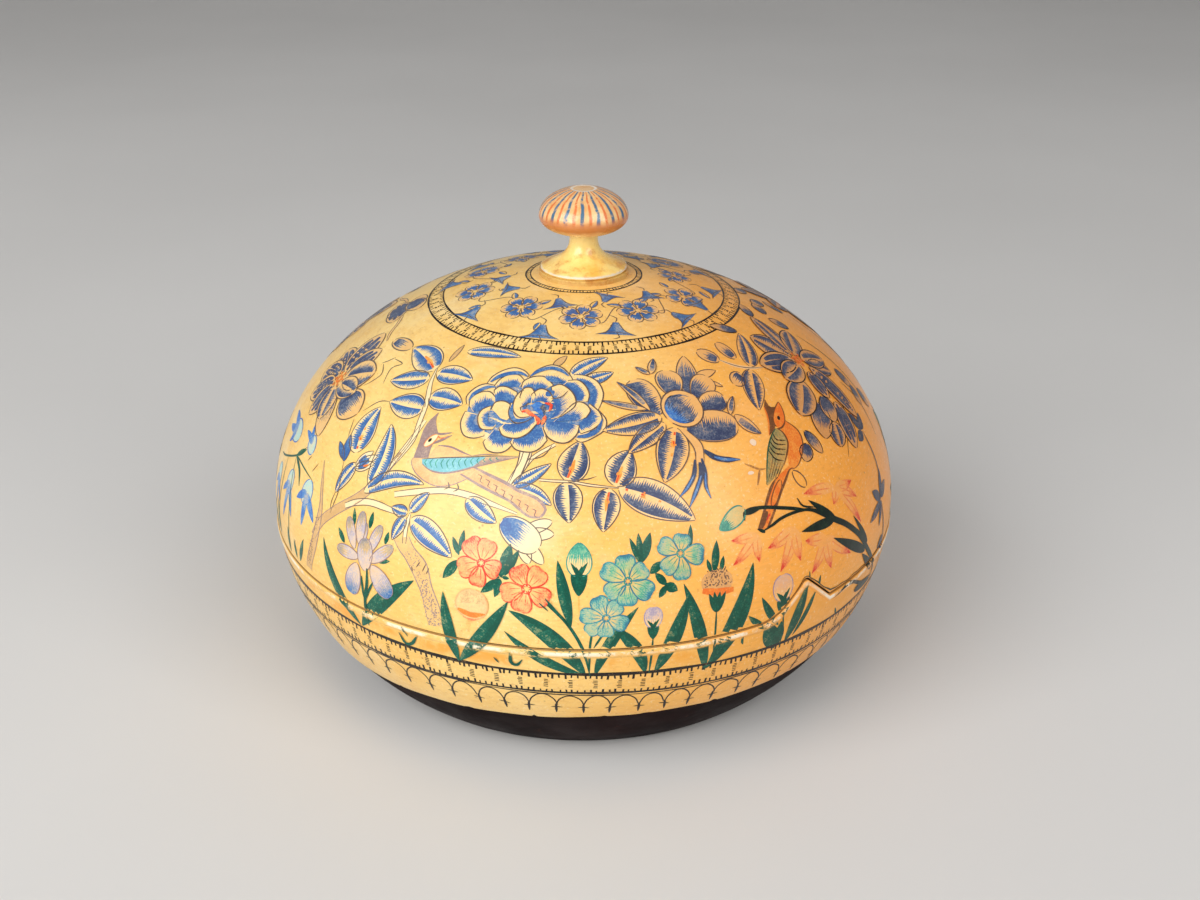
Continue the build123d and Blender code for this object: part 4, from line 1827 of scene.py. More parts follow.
    def layered_bloom(self) -> None:
        """Draw a side-view bloom of rounded petals about a ball, with sepals below."""
        for base, tip, width in (((6.6, 7.6), (12.5, 8.7), 2.2), ((9.6, 6), (12.2, 4.2), 1)):
            self.edged(Blade(base, tip, width), self.pale, None, 0.24)
        self.layer += 3
        for base, tip, width, bend, start, reach, tooth, slope in (
            ((3.6, 2.6), (6.7, 13.8), 4.8, 0.3, 0.1, 0.5, 0.74, 0),
            ((4, 2.8), (9.7, 7.2), 5.6, -0.3, 0.06, 0.34, 0.62, 0.1),
            ((0, 3.4), (0.9, 10.5), 6, 0.3, 0.06, 0.44, 0.7, 0.2),
        ):
            petal = Blade(base, tip, width, bend, 0.7, 0.42 if width > 5 else 0.8)
            self.blue_petal(petal, start, reach + 0.16, tooth + 0.14, slope)
        small = Blade((4.4, 0.3), (11.2, 1.2), 5.4, 0, 0.5, 0.4)
        left = Blade((-4.8, -0.2), (-7.2, 9.6), 6.6, 0.7, 0.62, 0.42)
        large = Blade((-1, -4.6), (11.6, -6), 7.8, 0.9, 0.5, 0.42)
        for petal, root, reach, tooth in (
            (small, -0.92, 0.2, 0.7), (left, 0.92, -0.2, -0.75), (large, -0.94, 0.1, 0.7)
        ):
            self.fill(petal, self.pale)
            self.comb_side(petal, self.blue, root, reach, tooth, (0.03, 0.94), (1, 0.75))
            self.outline(petal)
            self.layer += 3
        self.blue_leaf((-4.8, -0.6), (-18.2, -1.2), 5.2, 0.8)
        self.blue_leaf((-4.6, -2.4), (-14.6, -7.7), 4.4, -0.5)
        self.blue_leaf((-2.8, -3.8), (-9.2, -16), 7, 0.6, True)
        self.layer += 3
        stem = Scallop(
            ((-2.1, -4.3), (-0.4, -9.4), (-1.2, -13.2)), ((-0.6, -4.8), (1.6, -8.6), (0.8, -13))
        )
        self.fill(stem, self.pale)
        for side in (stem.root, stem.rim):
            self.line(Pigment.UMBER, side, 0.26)
        for points, width in (
            ([(-1, -12), (-2.4, -15.6), (-4.6, -18.2), (-7, -20.2)], 1),
            ([(-0.2, -12.8), (-0.8, -16), (-2.6, -19), (-5.4, -23.2)], 1.1),
            ([(0.5, -12), (0.3, -15.6), (-0.4, -18.8), (0, -22)], 0.9),
            ([(1.6, -10.2), (3.4, -12.2), (5.8, -13.3), (9.4, -14)], 1.4),
        ):
            self.line(Pigment.DEEP, points, width, 0.95, 2, (0.5, 0.2))
            self.line(Pigment.AZURE, points[1:], width * 0.45, 0.8, 3, (0.4, 0.2))
        ball = oval((-3.4, -2), (4.3, 2.8), 9.4)
        self.layer += 3
        self.edged(ball, self.pale, None, 0.32)
        inner = oval((-2.8, -1.7), (3.4, 2.5), 7.8)
        self.comb_end(inner, self.blue, 0.01, 0.62, 0.95, (-0.96, 0.96), (1, 0.7), slope=0.1)
        self.comb_end(inner, Pigment.AZURE, 0, 0.2, 0.46, (-0.9, 0.9), (1, 0.8), 2)
        self.layer += 3
        for base, tip, width, bend in (
            ((-6.6, 1.2), (-11, 9.9), 1.7, -0.6), ((-7.2, 1.7), (-15.9, 6), 1.6, 0.5),
            ((11.8, -3.2), (17, -8.8), 3, -0.6), ((10.8, -3), (13.4, 1.4), 1.7, 0.4),
            ((-3.1, 10.2), (-5.5, 12.8), 1.3, 0.2), ((-2.9, 10.2), (-0.6, 14.2), 1.8, 0),
        ):
            sepal = Blade(base, tip, width, bend)
            self.fill(sepal, self.pale, (0.8, 0.8))
            self.fill(sepal, self.blue, (0.5, 1), (0.2, 1), (-0.7, 0.5), 1)
            self.outline(sepal, None, 0.22)
        self.layer += 3

    def berry(self, base: Point, tip: Point, width: float) -> None:
        """Draw a round bud with a blue heart.

        Args:
            base: where it joins its stalk.
            tip: its far end.
            width: its width.
        """
        bud = oval(base, tip, width)
        self.fill(bud, self.pale)
        self.comb_end(bud, self.blue, 0.12, 0.42, 0.7, (-0.7, 0.7), (1, 0.7))
        self.outline(bud, None, 0.3)

    def star_petal(
        self, base: Point, tip: Point, width: float, marking: Marking = Marking.RIBBED
    ) -> None:
        """Draw a long petal with a pale rim.

        Args:
            base: where the petal starts.
            tip: where it ends.
            width: its width.
            marking: how its blue is laid.
        """
        petal = Blade(base, tip, width * 1.16, 0, 0.66, 0.7)
        self.fill(petal, self.pale, (0.9, 0.9))
        if marking is Marking.RIBBED:
            for side, start, end in ((-0.52, 0.12, 0.8), (0.02, 0.06, 0.88), (0.54, 0.14, 0.78)):
                share = np.linspace(start, end, 9)
                rib = petal.at(share, np.full(9, side))
                self.stroke_along(self.blue, rib, width * 0.29, 0.95, 1, (0.4, 0.5))
        elif marking is Marking.HALVED:
            self.comb_side(petal, self.blue, 0.1, 0.5, 0.8, (0.12, 0.9), (1, 0.7))
            self.comb_side(petal, self.blue, -0.84, -0.5, -0.14, (0.1, 0.92), (1, 0.7))
        else:
            self.comb_end(petal, self.blue, 0.04, 0.52, 0.74, (-0.84, 0.84), (1, 0.75))
        self.outline(petal, None, 0.3)
        self.layer += 2

    def star_heart(self, radius: float) -> None:
        """Draw the orange ring of a star flower with its stamens, at the card's middle.

        Args:
            radius: how far the stamens reach.
        """
        turns = np.linspace(0, 2 * np.pi, 15)
        ring = np.stack([np.cos(turns), np.sin(turns)], axis=1) * radius * 0.45
        self.stroke_along(Pigment.ORANGE, ring, 0.6, 1, 2, (1, 1))
        for angle in np.radians(np.arange(20, 380, 60)):
            out = np.array([math.cos(angle), math.sin(angle)]) * radius
            self.line(Pigment.ORANGE, [tuple(out * 0.7), tuple(out * 1.25)], 0.62)
        self.layer += 4

    def lance(
        self, base: Point, tip: Point, width: float, bend: float = 0.0, wash: float = 0.9
    ) -> None:
        """Draw a long green leaf that is darker along one half.

        Args:
            base: where the leaf starts.
            tip: where it ends.
            width: its width.
            bend: how far its spine bows to the left.
            wash: strength of the green.
        """
        leaf = Blade(base, tip, width, bend, 0.85, 0.95)
        self.fill(leaf, Pigment.GREEN, (wash, wash * 0.86))
        self.fill(leaf, Pigment.GREEN, (1, 1), s=(-1, -0.05), up=1)

    def open_flower(
        self, centre: Point, petals: Sequence[tuple[Point, float]], pigment: Pigment,
        edge: Pigment = Pigment.CYAN, pale: float = 0.0, heart: float = 0.8,
    ) -> None:
        """Draw an open flower whose petals are strongest at their ends.

        Args:
            centre: the flower's middle.
            petals: tip and width of each petal.
            pigment: the paint of the petals.
            edge: the paint of their ends.
            pale: strength of the cream under them.
            heart: radius of the ring at the middle.
        """
        middle = np.array(centre)
        for parity in (0, 1):
            for index, (tip, width) in enumerate(petals[parity::2]):
                away = np.array(tip) - middle
                base = middle + away / np.linalg.norm(away) * heart * 0.5
                end = middle + away * 0.93
                petal = Blade(tuple(base), tuple(end), width * 0.85, 0, 0.8, 0.36)
                self.fill(petal, Pigment.CREAM, (pale, pale))
                strong = (1, 0.7, 0.88)[index % 3]
                self.fill(petal, pigment, (0.16, 0.6 * strong), (0.1, 1), (-0.92, 0.92), 1)
                self.comb_end(
                    petal, pigment, 0.99, 0.74 - 0.24 * strong, 0.32, (-0.92, 0.92), (strong, 0.5),
                    2,
                )
                self.comb_end(petal, edge, 0.99, 0.8, 0.56, (-0.92, 0.92), (1.1 * strong, 0.4), 3)
                for side in (-0.34, 0.3):
                    vein = petal.at(np.linspace(0.16, 0.6, 5), np.full(5, side))
                    self.stroke_along(pigment, vein, 0.2, 0.8, 3, (0.8, 0.3))
                self.outline(petal, edge, 0.3)
            self.layer += 4
        turns = np.linspace(0, 2 * np.pi, 13)
        ring = middle + np.stack([np.cos(turns), np.sin(turns)], axis=1) * heart
        self.stroke_along(pigment, ring, 0.28, 1, 1, (1, 1))
        self.layer += 3

    def calyx_bud(
        self, base: Point, tip: Point, width: float, paint: Pigment, wash: float = 0.9,
        blunt: float = 0.42,
    ) -> None:
        """Draw a closed bud in a green cup of pointed sepals.

        Args:
            base: where it joins its stalk.
            tip: its far end.
            width: its width.
            paint: the paint of the bud.
            wash: strength of that paint.
            blunt: how pointed its end is, from 0.4 for a round one.
        """
        low, high = np.array(base, float), np.array(tip, float)
        along = high - low
        dome = Blade(tuple(low + along * 0.36), tip, width, 0, 0.5, blunt)
        self.fill(dome, self.pale, (0.5, 0.5))
        self.comb_end(dome, paint, 0.99, 0.5, 0.2, (-0.92, 0.92), (wash, wash * 0.6))
        self.outline(dome, paint, 0.26)
        cup = Blade(base, tuple(low + along * 0.58), width * 0.66, 0, 0.7, 0.4)
        self.fill(cup, Pigment.GREEN, (1, 1), (0, 0.7), up=2)
        for across, reach in ((-0.86, 1.12), (-0.3, 0.98), (0.3, 1.02), (0.86, 1.14)):
            foot = cup.at(np.array([0.45]), np.array([across * 0.7]))[0]
            end = low + along * 0.56 * reach
            aside = np.array([along[1], -along[0]]) / np.linalg.norm(along)
            end = end + aside * (across * width * 0.4)
            sepal = Blade(tuple(foot), tuple(end), width * 0.2, 0, 0.5, 0.9)
            self.fill(sepal, Pigment.GREEN, up=3)

    def bell(self, stalk: Point, mouth: Point, width: float, lobes: Sequence[Point]) -> None:
        """Draw a pale hanging bell with bright blue points.

        Args:
            stalk: where it hangs from.
            mouth: middle of its open end.
            width: its width.
            lobes: ends of the points.
        """
        body = Blade(stalk, mouth, width, 0, 0.5, 0.42)
        self.edged(body, Pigment.SKY, Pigment.AZURE, 0.3, (0.55, 0.35))
        start = np.array(stalk) + (np.array(mouth) - np.array(stalk)) * 0.55
        for index, end in enumerate(lobes):
            lobe = Blade(tuple(start), end, width * 0.42, (-0.5, 0.4, 0.5)[index % 3], 0.5, 0.8)
            self.fill(lobe, Pigment.AZURE, (0.55, 1), up=1)

    def iris(self) -> None:
        """Draw an iris of pale petals with lilac falls, on a green stem."""
        for base, tip, width in (
            ((-3.6, 5), (-4.9, 8.4), 1.1), ((0.9, 5.6), (0.7, 9.2), 1.3),
            ((-5.6, 0.4), (-8.4, 3), 1.4), ((5.9, 3.7), (6.2, 6.5), 1.2),
            ((4.6, -0.4), (8, 0.6), 1.2),
        ):
            self.fill(Blade(base, tip, width), Pigment.GREEN, (0.95, 0.8))
        for base, tip, width, wash in (
            ((-0.8, 1), (-0.6, 6.6), 2.6, 0.6), ((-2.2, 0.2), (-5.9, 6.2), 2.6, 0.7),
            ((-1, 1.4), (-2.1, 8.5), 2.7, 0.7), ((1.9, 0.6), (4, 7.2), 2.6, 0.7),
            ((-0.7, -1.2), (-7.8, -1.2), 2.8, 0.7), ((2.6, -1.2), (8.2, 3.8), 2.7, 0.7),
            ((1.6, -3.6), (0.4, 3.4), 4.4, 0.6),
        ):
            petal = Blade(base, tip, width, 0, 0.62, 0.5)
            self.fill(petal, Pigment.LILAC, (0.4, wash + 0.2))
            self.comb_end(petal, Pigment.SLATE, 0.98, 0.7, 0.4, (-0.8, 0.8), (0.55, 0.2))
            self.outline(petal, Pigment.MAUVE, 0.22)
            self.layer += 2
        for base, tip, width in (((-1, -2.6), (-2.8, -10.4), 4.6), ((3.2, -1.8), (9, -7.4), 4.8)):
            fall = Blade(base, tip, width, 0, 0.62, 0.42)
            self.fill(fall, Pigment.LILAC, (0.4, 1))
            self.comb_end(fall, Pigment.BLUE, 0.99, 0.66, 0.3, (-0.9, 0.9), (0.8, 0.3))
            self.outline(fall, Pigment.MAUVE, 0.22)
            self.layer += 2
        self.line(Pigment.GREEN, [(2.1, -2.8), (2.3, -6.4), (1.7, -10.8), (2, -17.5)], 0.8)
        self.line(Pigment.GREEN, [(0.6, -5), (1.2, -8.6), (1.7, -10.8)], 0.6)
        self.line(Pigment.GREEN, [(4, -5.4), (2.6, -8.6), (1.8, -10.8)], 0.6)

    def lily(self, throat: Point, tips: Sequence[Point], width: float = 2.6) -> None:
        """Draw a faint peach lily with red ends.

        Args:
            throat: where the petals part.
            tips: ends of the petals.
            width: width of a petal.
        """
        for index, tip in enumerate(tips):
            petal = Blade(throat, tip, width, (0.7, -0.7)[index % 2], 0.5, 0.85)
            self.fill(petal, Pigment.PEACH, (0.3, 0.5))
            self.fill(petal, Pigment.CORAL, (0.3, 1.2), (0.6, 1), (-0.8, 0.7), 1)
            for side, start, end in ((-0.9, 0.3, 0.9), (0.1, 0.2, 0.7), (0.85, 0.45, 1)):
                rib = petal.at(np.linspace(start, end, 7), np.full(7, side))
                self.stroke_along(Pigment.CORAL, rib, 0.34, 0.55, 2, (0.3, 0.5))

    def small_bloom(self, radius: float, turn: float, petals: int = 6) -> None:
        """Draw a small flower of separate lobes with blue patches.

        Args:
            radius: reach of its petals.
            turn: degrees that it is turned.
            petals: how many petals.
        """
        for index in [*range(0, petals, 2), *range(1, petals, 2)]:
            angle = math.radians(turn + 360.0 * index / petals)
            tip = (radius * math.cos(angle), radius * math.sin(angle))
            petal = Blade((tip[0] * 0.12, tip[1] * 0.12), tip, radius * 0.72, 0, 0.7, 0.4)
            self.fill(petal, self.pale, (0.7, 0.7))
            side = -1 if index % 2 else 1
            self.fill(petal, self.blue, (1, 0.8), (0.1, 0.7), (-0.6 * side, 0.15 * side), 1)
            self.comb_end(petal, self.blue, 0.36, 0.6, 0.84, (-0.75, 0.75), (1, 0.8))
            self.outline(petal, None, 0.26)
        self.layer += 2

    def trumpet(self, size: float) -> None:
        """Draw a small flared blue bell with two long points and a curled stalk.

        Args:
            size: its height.
        """
        left = [(-0.12, 0.1), (-0.3, -0.4), (-0.56, -0.8), (-1.15, -1)]
        right = [(0.16, 0.1), (0.34, -0.4), (0.56, -0.76), (1.1, -1.05)]
        sides = [[(x * size, y * size) for x, y in side] for side in (left, right)]
        self.band(self.blue, sides[0], sides[1], (1, 0.6), 1)
        for side in sides:
            self.line(Pigment.UMBER, side, 0.24)
        mouth = [(-1.1 * size, -size), (-0.1 * size, -0.8 * size), (1.05 * size, -1.05 * size)]
        stalk = [(0, 0.1 * size), (0.1 * size, 0.5 * size), (-0.3 * size, 0.8 * size)]
        tail = [(0, -0.8 * size), (0.16 * size, -1.25 * size), (-0.2 * size, -1.4 * size)]
        for points in (mouth, stalk, tail):
            self.line(Pigment.UMBER, points, 0.24)

    def leaflet(self, base: Point, tip: Point, width: float) -> None:
        """Draw a small leaf with one blue side."""
        leaf = Blade(base, tip, width, 0, 0.7, 0.9)
        self.fill(leaf, self.blue, (0.9, 0.7), (0.05, 0.95), (-0.9, 0.1), 1)
        self.outline(leaf, None, 0.22)


class BirdBrush(FlowerBrush):
    """A brush that also knows the two birds of the decoration."""

    def looking_back(self) -> None:
        """Draw a perched bird with a mauve crest, a sky-blue wing and a long tail."""
        wing_top = [(-8.1, -0.2), (-2.4, 1.2), (3, 2.4), (7.8, 3.6), (12.7, 4.5)]
        wing_low = [(-7.7, -1.2), (-5.3, -2.2), (-2.1, -2.2), (1.2, -1.1), (4.8, 0.7), (12.7, 4.3)]
        tail_top = [
            (4.2, 0.4), (8.5, -0.7), (11.9, -1.5), (15.5, -2.7), (19.7, -3.6), (22.2, -5.6),
            (21.6, -7.4),
        ]
        tail_low = [
            (1.8, -1.6), (7.2, -3.3), (10.9, -4.3), (14.1, -5.2), (16.7, -6.6), (19.2, -7.7),
            (21.6, -7.5),
        ]
        breast = [
            (-10.3, -0.4), (-10.5, -1.3), (-8.9, -3.2), (-5.9, -4.7), (-2.5, -5.2), (0.8, -4.2),
            (4, -2),
        ]
        self.band(Pigment.PEACH, breast, [(-7.6, 0.2), *wing_low[:4], (4.8, -0.2)], (0.85, 0.6))
        self.band(
            Pigment.PEACH, [(-6.4, 1.8), (-5.4, 3.4), (-2.4, 3.6), (0.6, 3), (3, 2.6)],
            [(-6.7, 0.2), (-5, 0.6), (-2.4, 1.2), (0.6, 1.8), (3, 2.4)], (0.7, 0.6),
        )
        self.band(Pigment.PEACH, tail_top, tail_low, (0.9, 0.9))
        for line, width in ((breast, 0.26), (tail_top, 0.7), (tail_low, 0.6)):
            self.line(Pigment.MAUVE, line, width, 0.8, 2, (0.6, 0.8))
        self.line(Pigment.MAUVE, [(-5.4, 3.4), (-2.4, 3.6), (0.6, 3), (3, 2.6)], 0.4)
        self.line(Pigment.MAUVE, [(3, 2.7), (5.6, 3.5), (8.5, 4.1)], 0.24)
        for index in range(8):
            x = 5.6 + index * 1.95
            y = -0.9 - index * 0.72
            self.line(
                Pigment.UMBER, [(x, y), (x + 1, y - 0.3), (x + 0.9, y - 1.3), (x + 1.7, y - 1.7)],
                0.22, 0.8,
            )
        self.layer += 3
        self.band(Pigment.SKY, wing_top, wing_low, (1, 1.1))
        for index in range(13):
            share = 0.06 + index * 0.064
            top = np.array(
                [np.interp(share, (0, 1), (-8, 12)), np.interp(share, (0, 1), (-0.3, 4.2))]
            )
            drop = 2.6 * math.sin(math.pi * min(share * 0.9 + 0.16, 1)) * (1 - share * 0.45)
            self.line(
                Pigment.TEAL,
                [tuple(top), (top[0] - 0.35, top[1] - drop * 0.5), (top[0] + 0.5, top[1] - drop)],
                0.24, 1,
            )
        self.band(
            Pigment.MAUVE, [(6, 3.1), (9.4, 4), (12.9, 4.5)], [(4, 0.5), (8.4, 2.3), (12.9, 4.3)],
            (0.35, 0.8), 3,
        )
        self.line(Pigment.UMBER, wing_top, 0.26, 0.9, 4)
        self.line(Pigment.MAUVE, wing_low, 0.4, 0.9, 4)
        self.band(
            Pigment.MAUVE,
            [(-8.7, 10.6), (-10.1, 8.2), (-10.5, 5.8), (-10.3, 3.4), (-10.3, 1.2), (-10.3, -0.4)],
            [(-8.6, 10.4), (-8.5, 8.9), (-7.6, 7.3), (-6.4, 5.4), (-6.9, 2.8), (-6.7, 0.3)],
            (1, 0.85), 1,
        )
        self.line(Pigment.MAUVE, [(-7.4, 6), (-5.9, 5.9), (-3.4, 6.7)], 0.5)
        self.line(Pigment.MAUVE, [(-7.2, 3.4), (-5.5, 4.4), (-3.2, 6.1)], 0.6)
        self.line(Pigment.CORAL, [(-6.9, 5.6), (-5.4, 5), (-3.9, 5.9)], 0.3, 0.7)
        self.fill(oval((-8.7, 2.6), (-6.5, 5.6), 1.7), Pigment.CREAM, up=4)
        self.outline(oval((-8.7, 2.6), (-6.5, 5.6), 1.7), Pigment.ORANGE, 0.2, up=5)
        self.fill(oval((-8.1, 3.7), (-7.6, 4.6), 0.7), Pigment.INK, up=6)
        for x in (-0.4, 1.8):
            self.line(Pigment.UMBER, [(x, -3.8), (x + 0.6, -4.8), (x - 0.4, -5.6)], 0.3)
        self.layer += 6

    def upright(self) -> None:
        """Draw an orange bird with a green wing, standing with its tail down."""
        back = [(5, 5.8), (6.8, 3.3), (7.1, 1.4), (6.2, -0.7), (4.3, -2.7), (1.9, -4.3), (0, -4.6)]
        front = [
            (2.6, 4.8), (2.5, 3.5), (2.4, 1.3), (1.4, -0.3), (0.2, -2), (-0.3, -3.2), (-0.6, -3.7)
        ]
        tail_left = [
            (-0.6, -3.6), (-4.9, -4.8), (-7.1, -6), (-9.5, -8.2), (-12.4, -11.6), (-14.7, -14.3)
        ]
        tail_right = [
            (0.4, -4.4), (-0.9, -4.4), (-3.5, -6.4), (-5.5, -8), (-8, -10.4), (-12.4, -14.8)
        ]
        self.band(Pigment.ORANGE, back, front, (0.8, 0.8))
        self.band(Pigment.ORANGE, tail_left, tail_right, (0.85, 0.9))
        self.line(Pigment.BROWN, back, 0.34)
        self.line(Pigment.BROWN, tail_right, 0.6, 0.85, 2, (0.3, 1))
        self.line(Pigment.BROWN, tail_left[1:], 0.7, 0.75, 2, (0.3, 1))
        self.outline(Blade((-4.4, -5.6), (-9.4, -10.4), 1.9, 0.2, 0.6, 0.6), Pigment.BROWN, 0.26)
        self.line(Pigment.BROWN, [(-11, -11), (-12.6, -12.6), (-14, -14.4)], 1.2, 0.8)
        self.line(Pigment.CORAL, [(-10.4, -11.6), (-12, -13)], 0.4)
        self.layer += 3
        wing_left = [(1.2, 4.9), (-1, 3.8), (-3.6, 1.6), (-6.2, -1.8), (-8.4, -5.4)]
        wing_right = [(1.6, 4.8), (2.5, 3.5), (2.4, 1.3), (0.8, -0.7), (-1.9, -3.1), (-8.2, -5.7)]
        self.band(Pigment.GREEN, wing_left, wing_right, (0.5, 0.36))
        self.line(Pigment.GREEN, wing_left, 0.3, 0.9)
        self.line(Pigment.BROWN, wing_right[:5], 0.42, 0.9)
        for points in (
            [(-0.3, 4.1), (-0.2, 2.6), (2, 1.7)], [(-1.3, 3.5), (-1, 1.9), (1.5, 0.8)],
            [(-2.2, 2.8), (-1.7, 1), (0.8, -0.1)], [(-3, 2), (-2.5, 0.1), (-0.2, -1)],
            [(-3.8, 1.2), (-3.2, -1), (-1.2, -2.2)],
        ):
            self.line(Pigment.INK, points, 0.34, 0.75)
        for index in range(5):
            self.line(
                Pigment.INK,
                [(-3.6 + 0.5 * index, -0.6 - 0.5 * index),
                 (-7.4 + 0.6 * index, -4.6 - 0.1 * index)],
                0.2, 0.6,
            )
        self.layer += 3
        self.band(
            Pigment.BROWN, [(3.4, 11.6), (1.7, 9.8), (0.9, 7.6), (-1.4, 4)],
            [(3.5, 11.4), (3.4, 9.7), (5.1, 8.6), (0.8, 4.8)], (0.95, 0.8),
        )
        self.line(Pigment.ORANGE, [(1.9, 10.2), (0.8, 7.4), (-1.5, 4)], 0.36)
        head = Blade((1.9, 4.9), (6.7, 10), 3, -0.5, 0.5, 0.9)
        self.fill(head, Pigment.ORANGE, (0.9, 1), up=2)
        self.outline(head, Pigment.BROWN, 0.24, up=3)
        self.fill(oval((3.4, 6.3), (4.1, 7.1), 0.8), Pigment.INK, up=4)
        self.line(Pigment.BROWN, [(1.6, 4.6), (3.2, 4.6), (4.8, 5.4)], 0.4)
        self.layer += 4


@dataclass
class Borders:
    """Ruled rings, ticks, dash columns and the arcade."""

    painter: Painter
    crown_outer: float = 36.4
    crown_inner: float = 32.8
    foot_ring: float = 13.5
    foot_ring_inner: float = 12.4
    band_top: float = 31.2
    band_bottom: float = 25.6
    arch_foot: float = 18.4
    tilt: float = 1.7

    def strip(self, height: float) -> RingStrip:
        """Give the strip at a height above the table."""
        form = self.painter.surface.form
        return RingStrip(form, float(form.polar_of(np.array(height))), self.tilt)

    def crown_strip(self, radius: float) -> RingStrip:
        """Give the strip at a radius on the dome."""
        form = self.painter.surface.form
        share = math.sqrt(1 - (radius / form.radius) ** 2)
        return RingStrip(form, math.atan2(radius, form.dome_rise * share))

    def ring(self, strip: RingStrip, width: float, wobble: float, seed: float) -> None:
        """Rule one ring, with a hand's unevenness.

        Args:
            strip: the strip that it runs on.
            width: its width.
            wobble: how far it strays.
            seed: phase of its waves.
        """
        length = strip.length()
        x = np.linspace(0, length, max(60, int(length / 1.1)))
        turn = x / length * 2 * np.pi
        y = wobble * (np.sin(3 * turn + seed) + 0.6 * np.sin(7 * turn + 2 * seed))
        half = width / 2 * (1 + 0.22 * np.sin(11 * turn + seed) + 0.14 * np.sin(29 * turn))
        Brush(self.painter, strip, 2).grid(
            Pigment.INK,
            np.stack([np.stack([x, y + half], -1), np.stack([x, y - half], -1)], axis=1), 0.9, 0,
        )

    def ticks(self, strip: RingStrip, spacing: float, reach: float, width: float) -> None:
        """Set short ticks along a ring.

        Args:
            strip: the strip that they stand on.
            spacing: distance between them.
            reach: their length, negative to hang down.
            width: their width.
        """
        brush = Brush(self.painter, strip, 1)
        count = int(strip.length() / spacing)
        chance = np.random.default_rng(7 + count)
        shift = chance.uniform(-0.2, 0.2, (count, 3)) * spacing
        size = chance.uniform(0.75, 1.2, count)
        for index in range(count):
            x = index * strip.length() / count + shift[index, 0]
            half = width / 2 * size[index]
            low = x + shift[index, 1] * 0.8
            end = reach * size[index]
            tick = (((x - half, 0), (x + half, 0)), ((low - half, end), (low + half, end)))
            brush.grid(Pigment.INK, np.array(tick), 0.95, 0)

    def dashes(
        self, strip: RingStrip, spacing: float, heights: Sequence[float], width: float
    ) -> None:
        """Set small columns of dashes along a band.

        Args:
            strip: the strip that heights are measured from.
            spacing: distance between the columns.
            heights: height of each dash of a column.
            width: length of a dash.
        """
        brush = Brush(self.painter, strip, 1)
        count = int(strip.length() / spacing)
        chance = np.random.default_rng(19 + count)
        for index in range(count):
            x = (index + 0.4) * strip.length() / count + chance.uniform(-0.25, 0.25)
            for height in heights:
                left, right = x - width / 2 * chance.uniform(0.5, 1.2), x + width / 2
                lift = height + chance.uniform(-0.08, 0.08)
                start = [[left, lift + 0.11], [left, lift - 0.11]]
                end = [[right, lift + 0.09], [right, lift - 0.13]]
                brush.grid(Pigment.INK, np.array([start, end]), 0.85, 0)

    def arcade(self) -> None:
        """Draw the row of arches with their crossed feet."""
        strip = self.strip(self.band_bottom)
        foot = -(self.band_bottom - self.arch_foot) * 1.03
        brush = Brush(self.painter, strip, 1, 0.7)
        count = int(strip.length() / 5.8)
        pitch = strip.length() / count
        chance = np.random.default_rng(3)
        for index in range(count):
            left = index * pitch + chance.uniform(-0.3, 0.3)
            right = (index + 1) * pitch + chance.uniform(-0.3, 0.3)
            middle = (left + right) / 2
            top = -0.9 + chance.uniform(-0.25, 0.25)
            brush.line(
                Pigment.INK,
                [(left + 0.05, -4.3), (left + 0.7, -2.4), (middle - 1.1, top - 0.3), (middle, top),
                 (middle + 1.1, top - 0.3), (right - 0.7, -2.4), (right - 0.05, -4.3)],
                0.34, 0.95, 0, (0.8, 0.8),
            )
            sway = chance.uniform(-0.3, 0.3)
            brush.line(
                Pigment.INK, [(left, -3.9), (left + sway / 2, -5.0), (left + sway, foot)], 0.58,
                1.0, 1,
            )
            brush.line(
                Pigment.INK, [(left - 1.2, -5.2 + sway), (left, -5.1), (left + 1.3, -5.2 - sway)],
                0.32, 0.85, 1, (0.3, 0.3),
            )

    def paint(self) -> None:
        """Draw every border."""
        outer, inner = self.crown_strip(self.crown_outer), self.crown_strip(self.crown_inner)
        self.ring(outer, 0.44, 0.05, 0.4)
        self.ring(inner, 0.4, 0.05, 1.9)
        self.ticks(outer, 1.05, 1.15, 0.3)
        self.ticks(inner, 1.0, -1.05, 0.28)
        self.dashes(outer, 2.9, (1.35, 1.75, 2.15, 2.55), 0.85)
        self.ring(self.crown_strip(self.foot_ring), 0.36, 0.04, 0.9)
        self.ring(self.crown_strip(self.foot_ring_inner), 0.28, 0.04, 2.6)
        self.ticks(self.crown_strip(self.foot_ring), 0.8, 1.0, 0.24)
        top, bottom = self.strip(self.band_top), self.strip(self.band_bottom)
        self.ring(top, 0.78, 0.07, 0.3)
        self.ring(bottom, 0.6, 0.07, 1.1)
        self.ring(self.strip(self.band_bottom - 0.65), 0.3, 0.12, 2.2)
        self.ticks(top, 1.28, -1.35, 0.42)
        self.ticks(bottom, 1.3, 1.2, 0.4)
        self.dashes(bottom, 5.1, (1.9, 2.4, 2.9, 3.4, 3.9), 0.95)
        self.arcade()


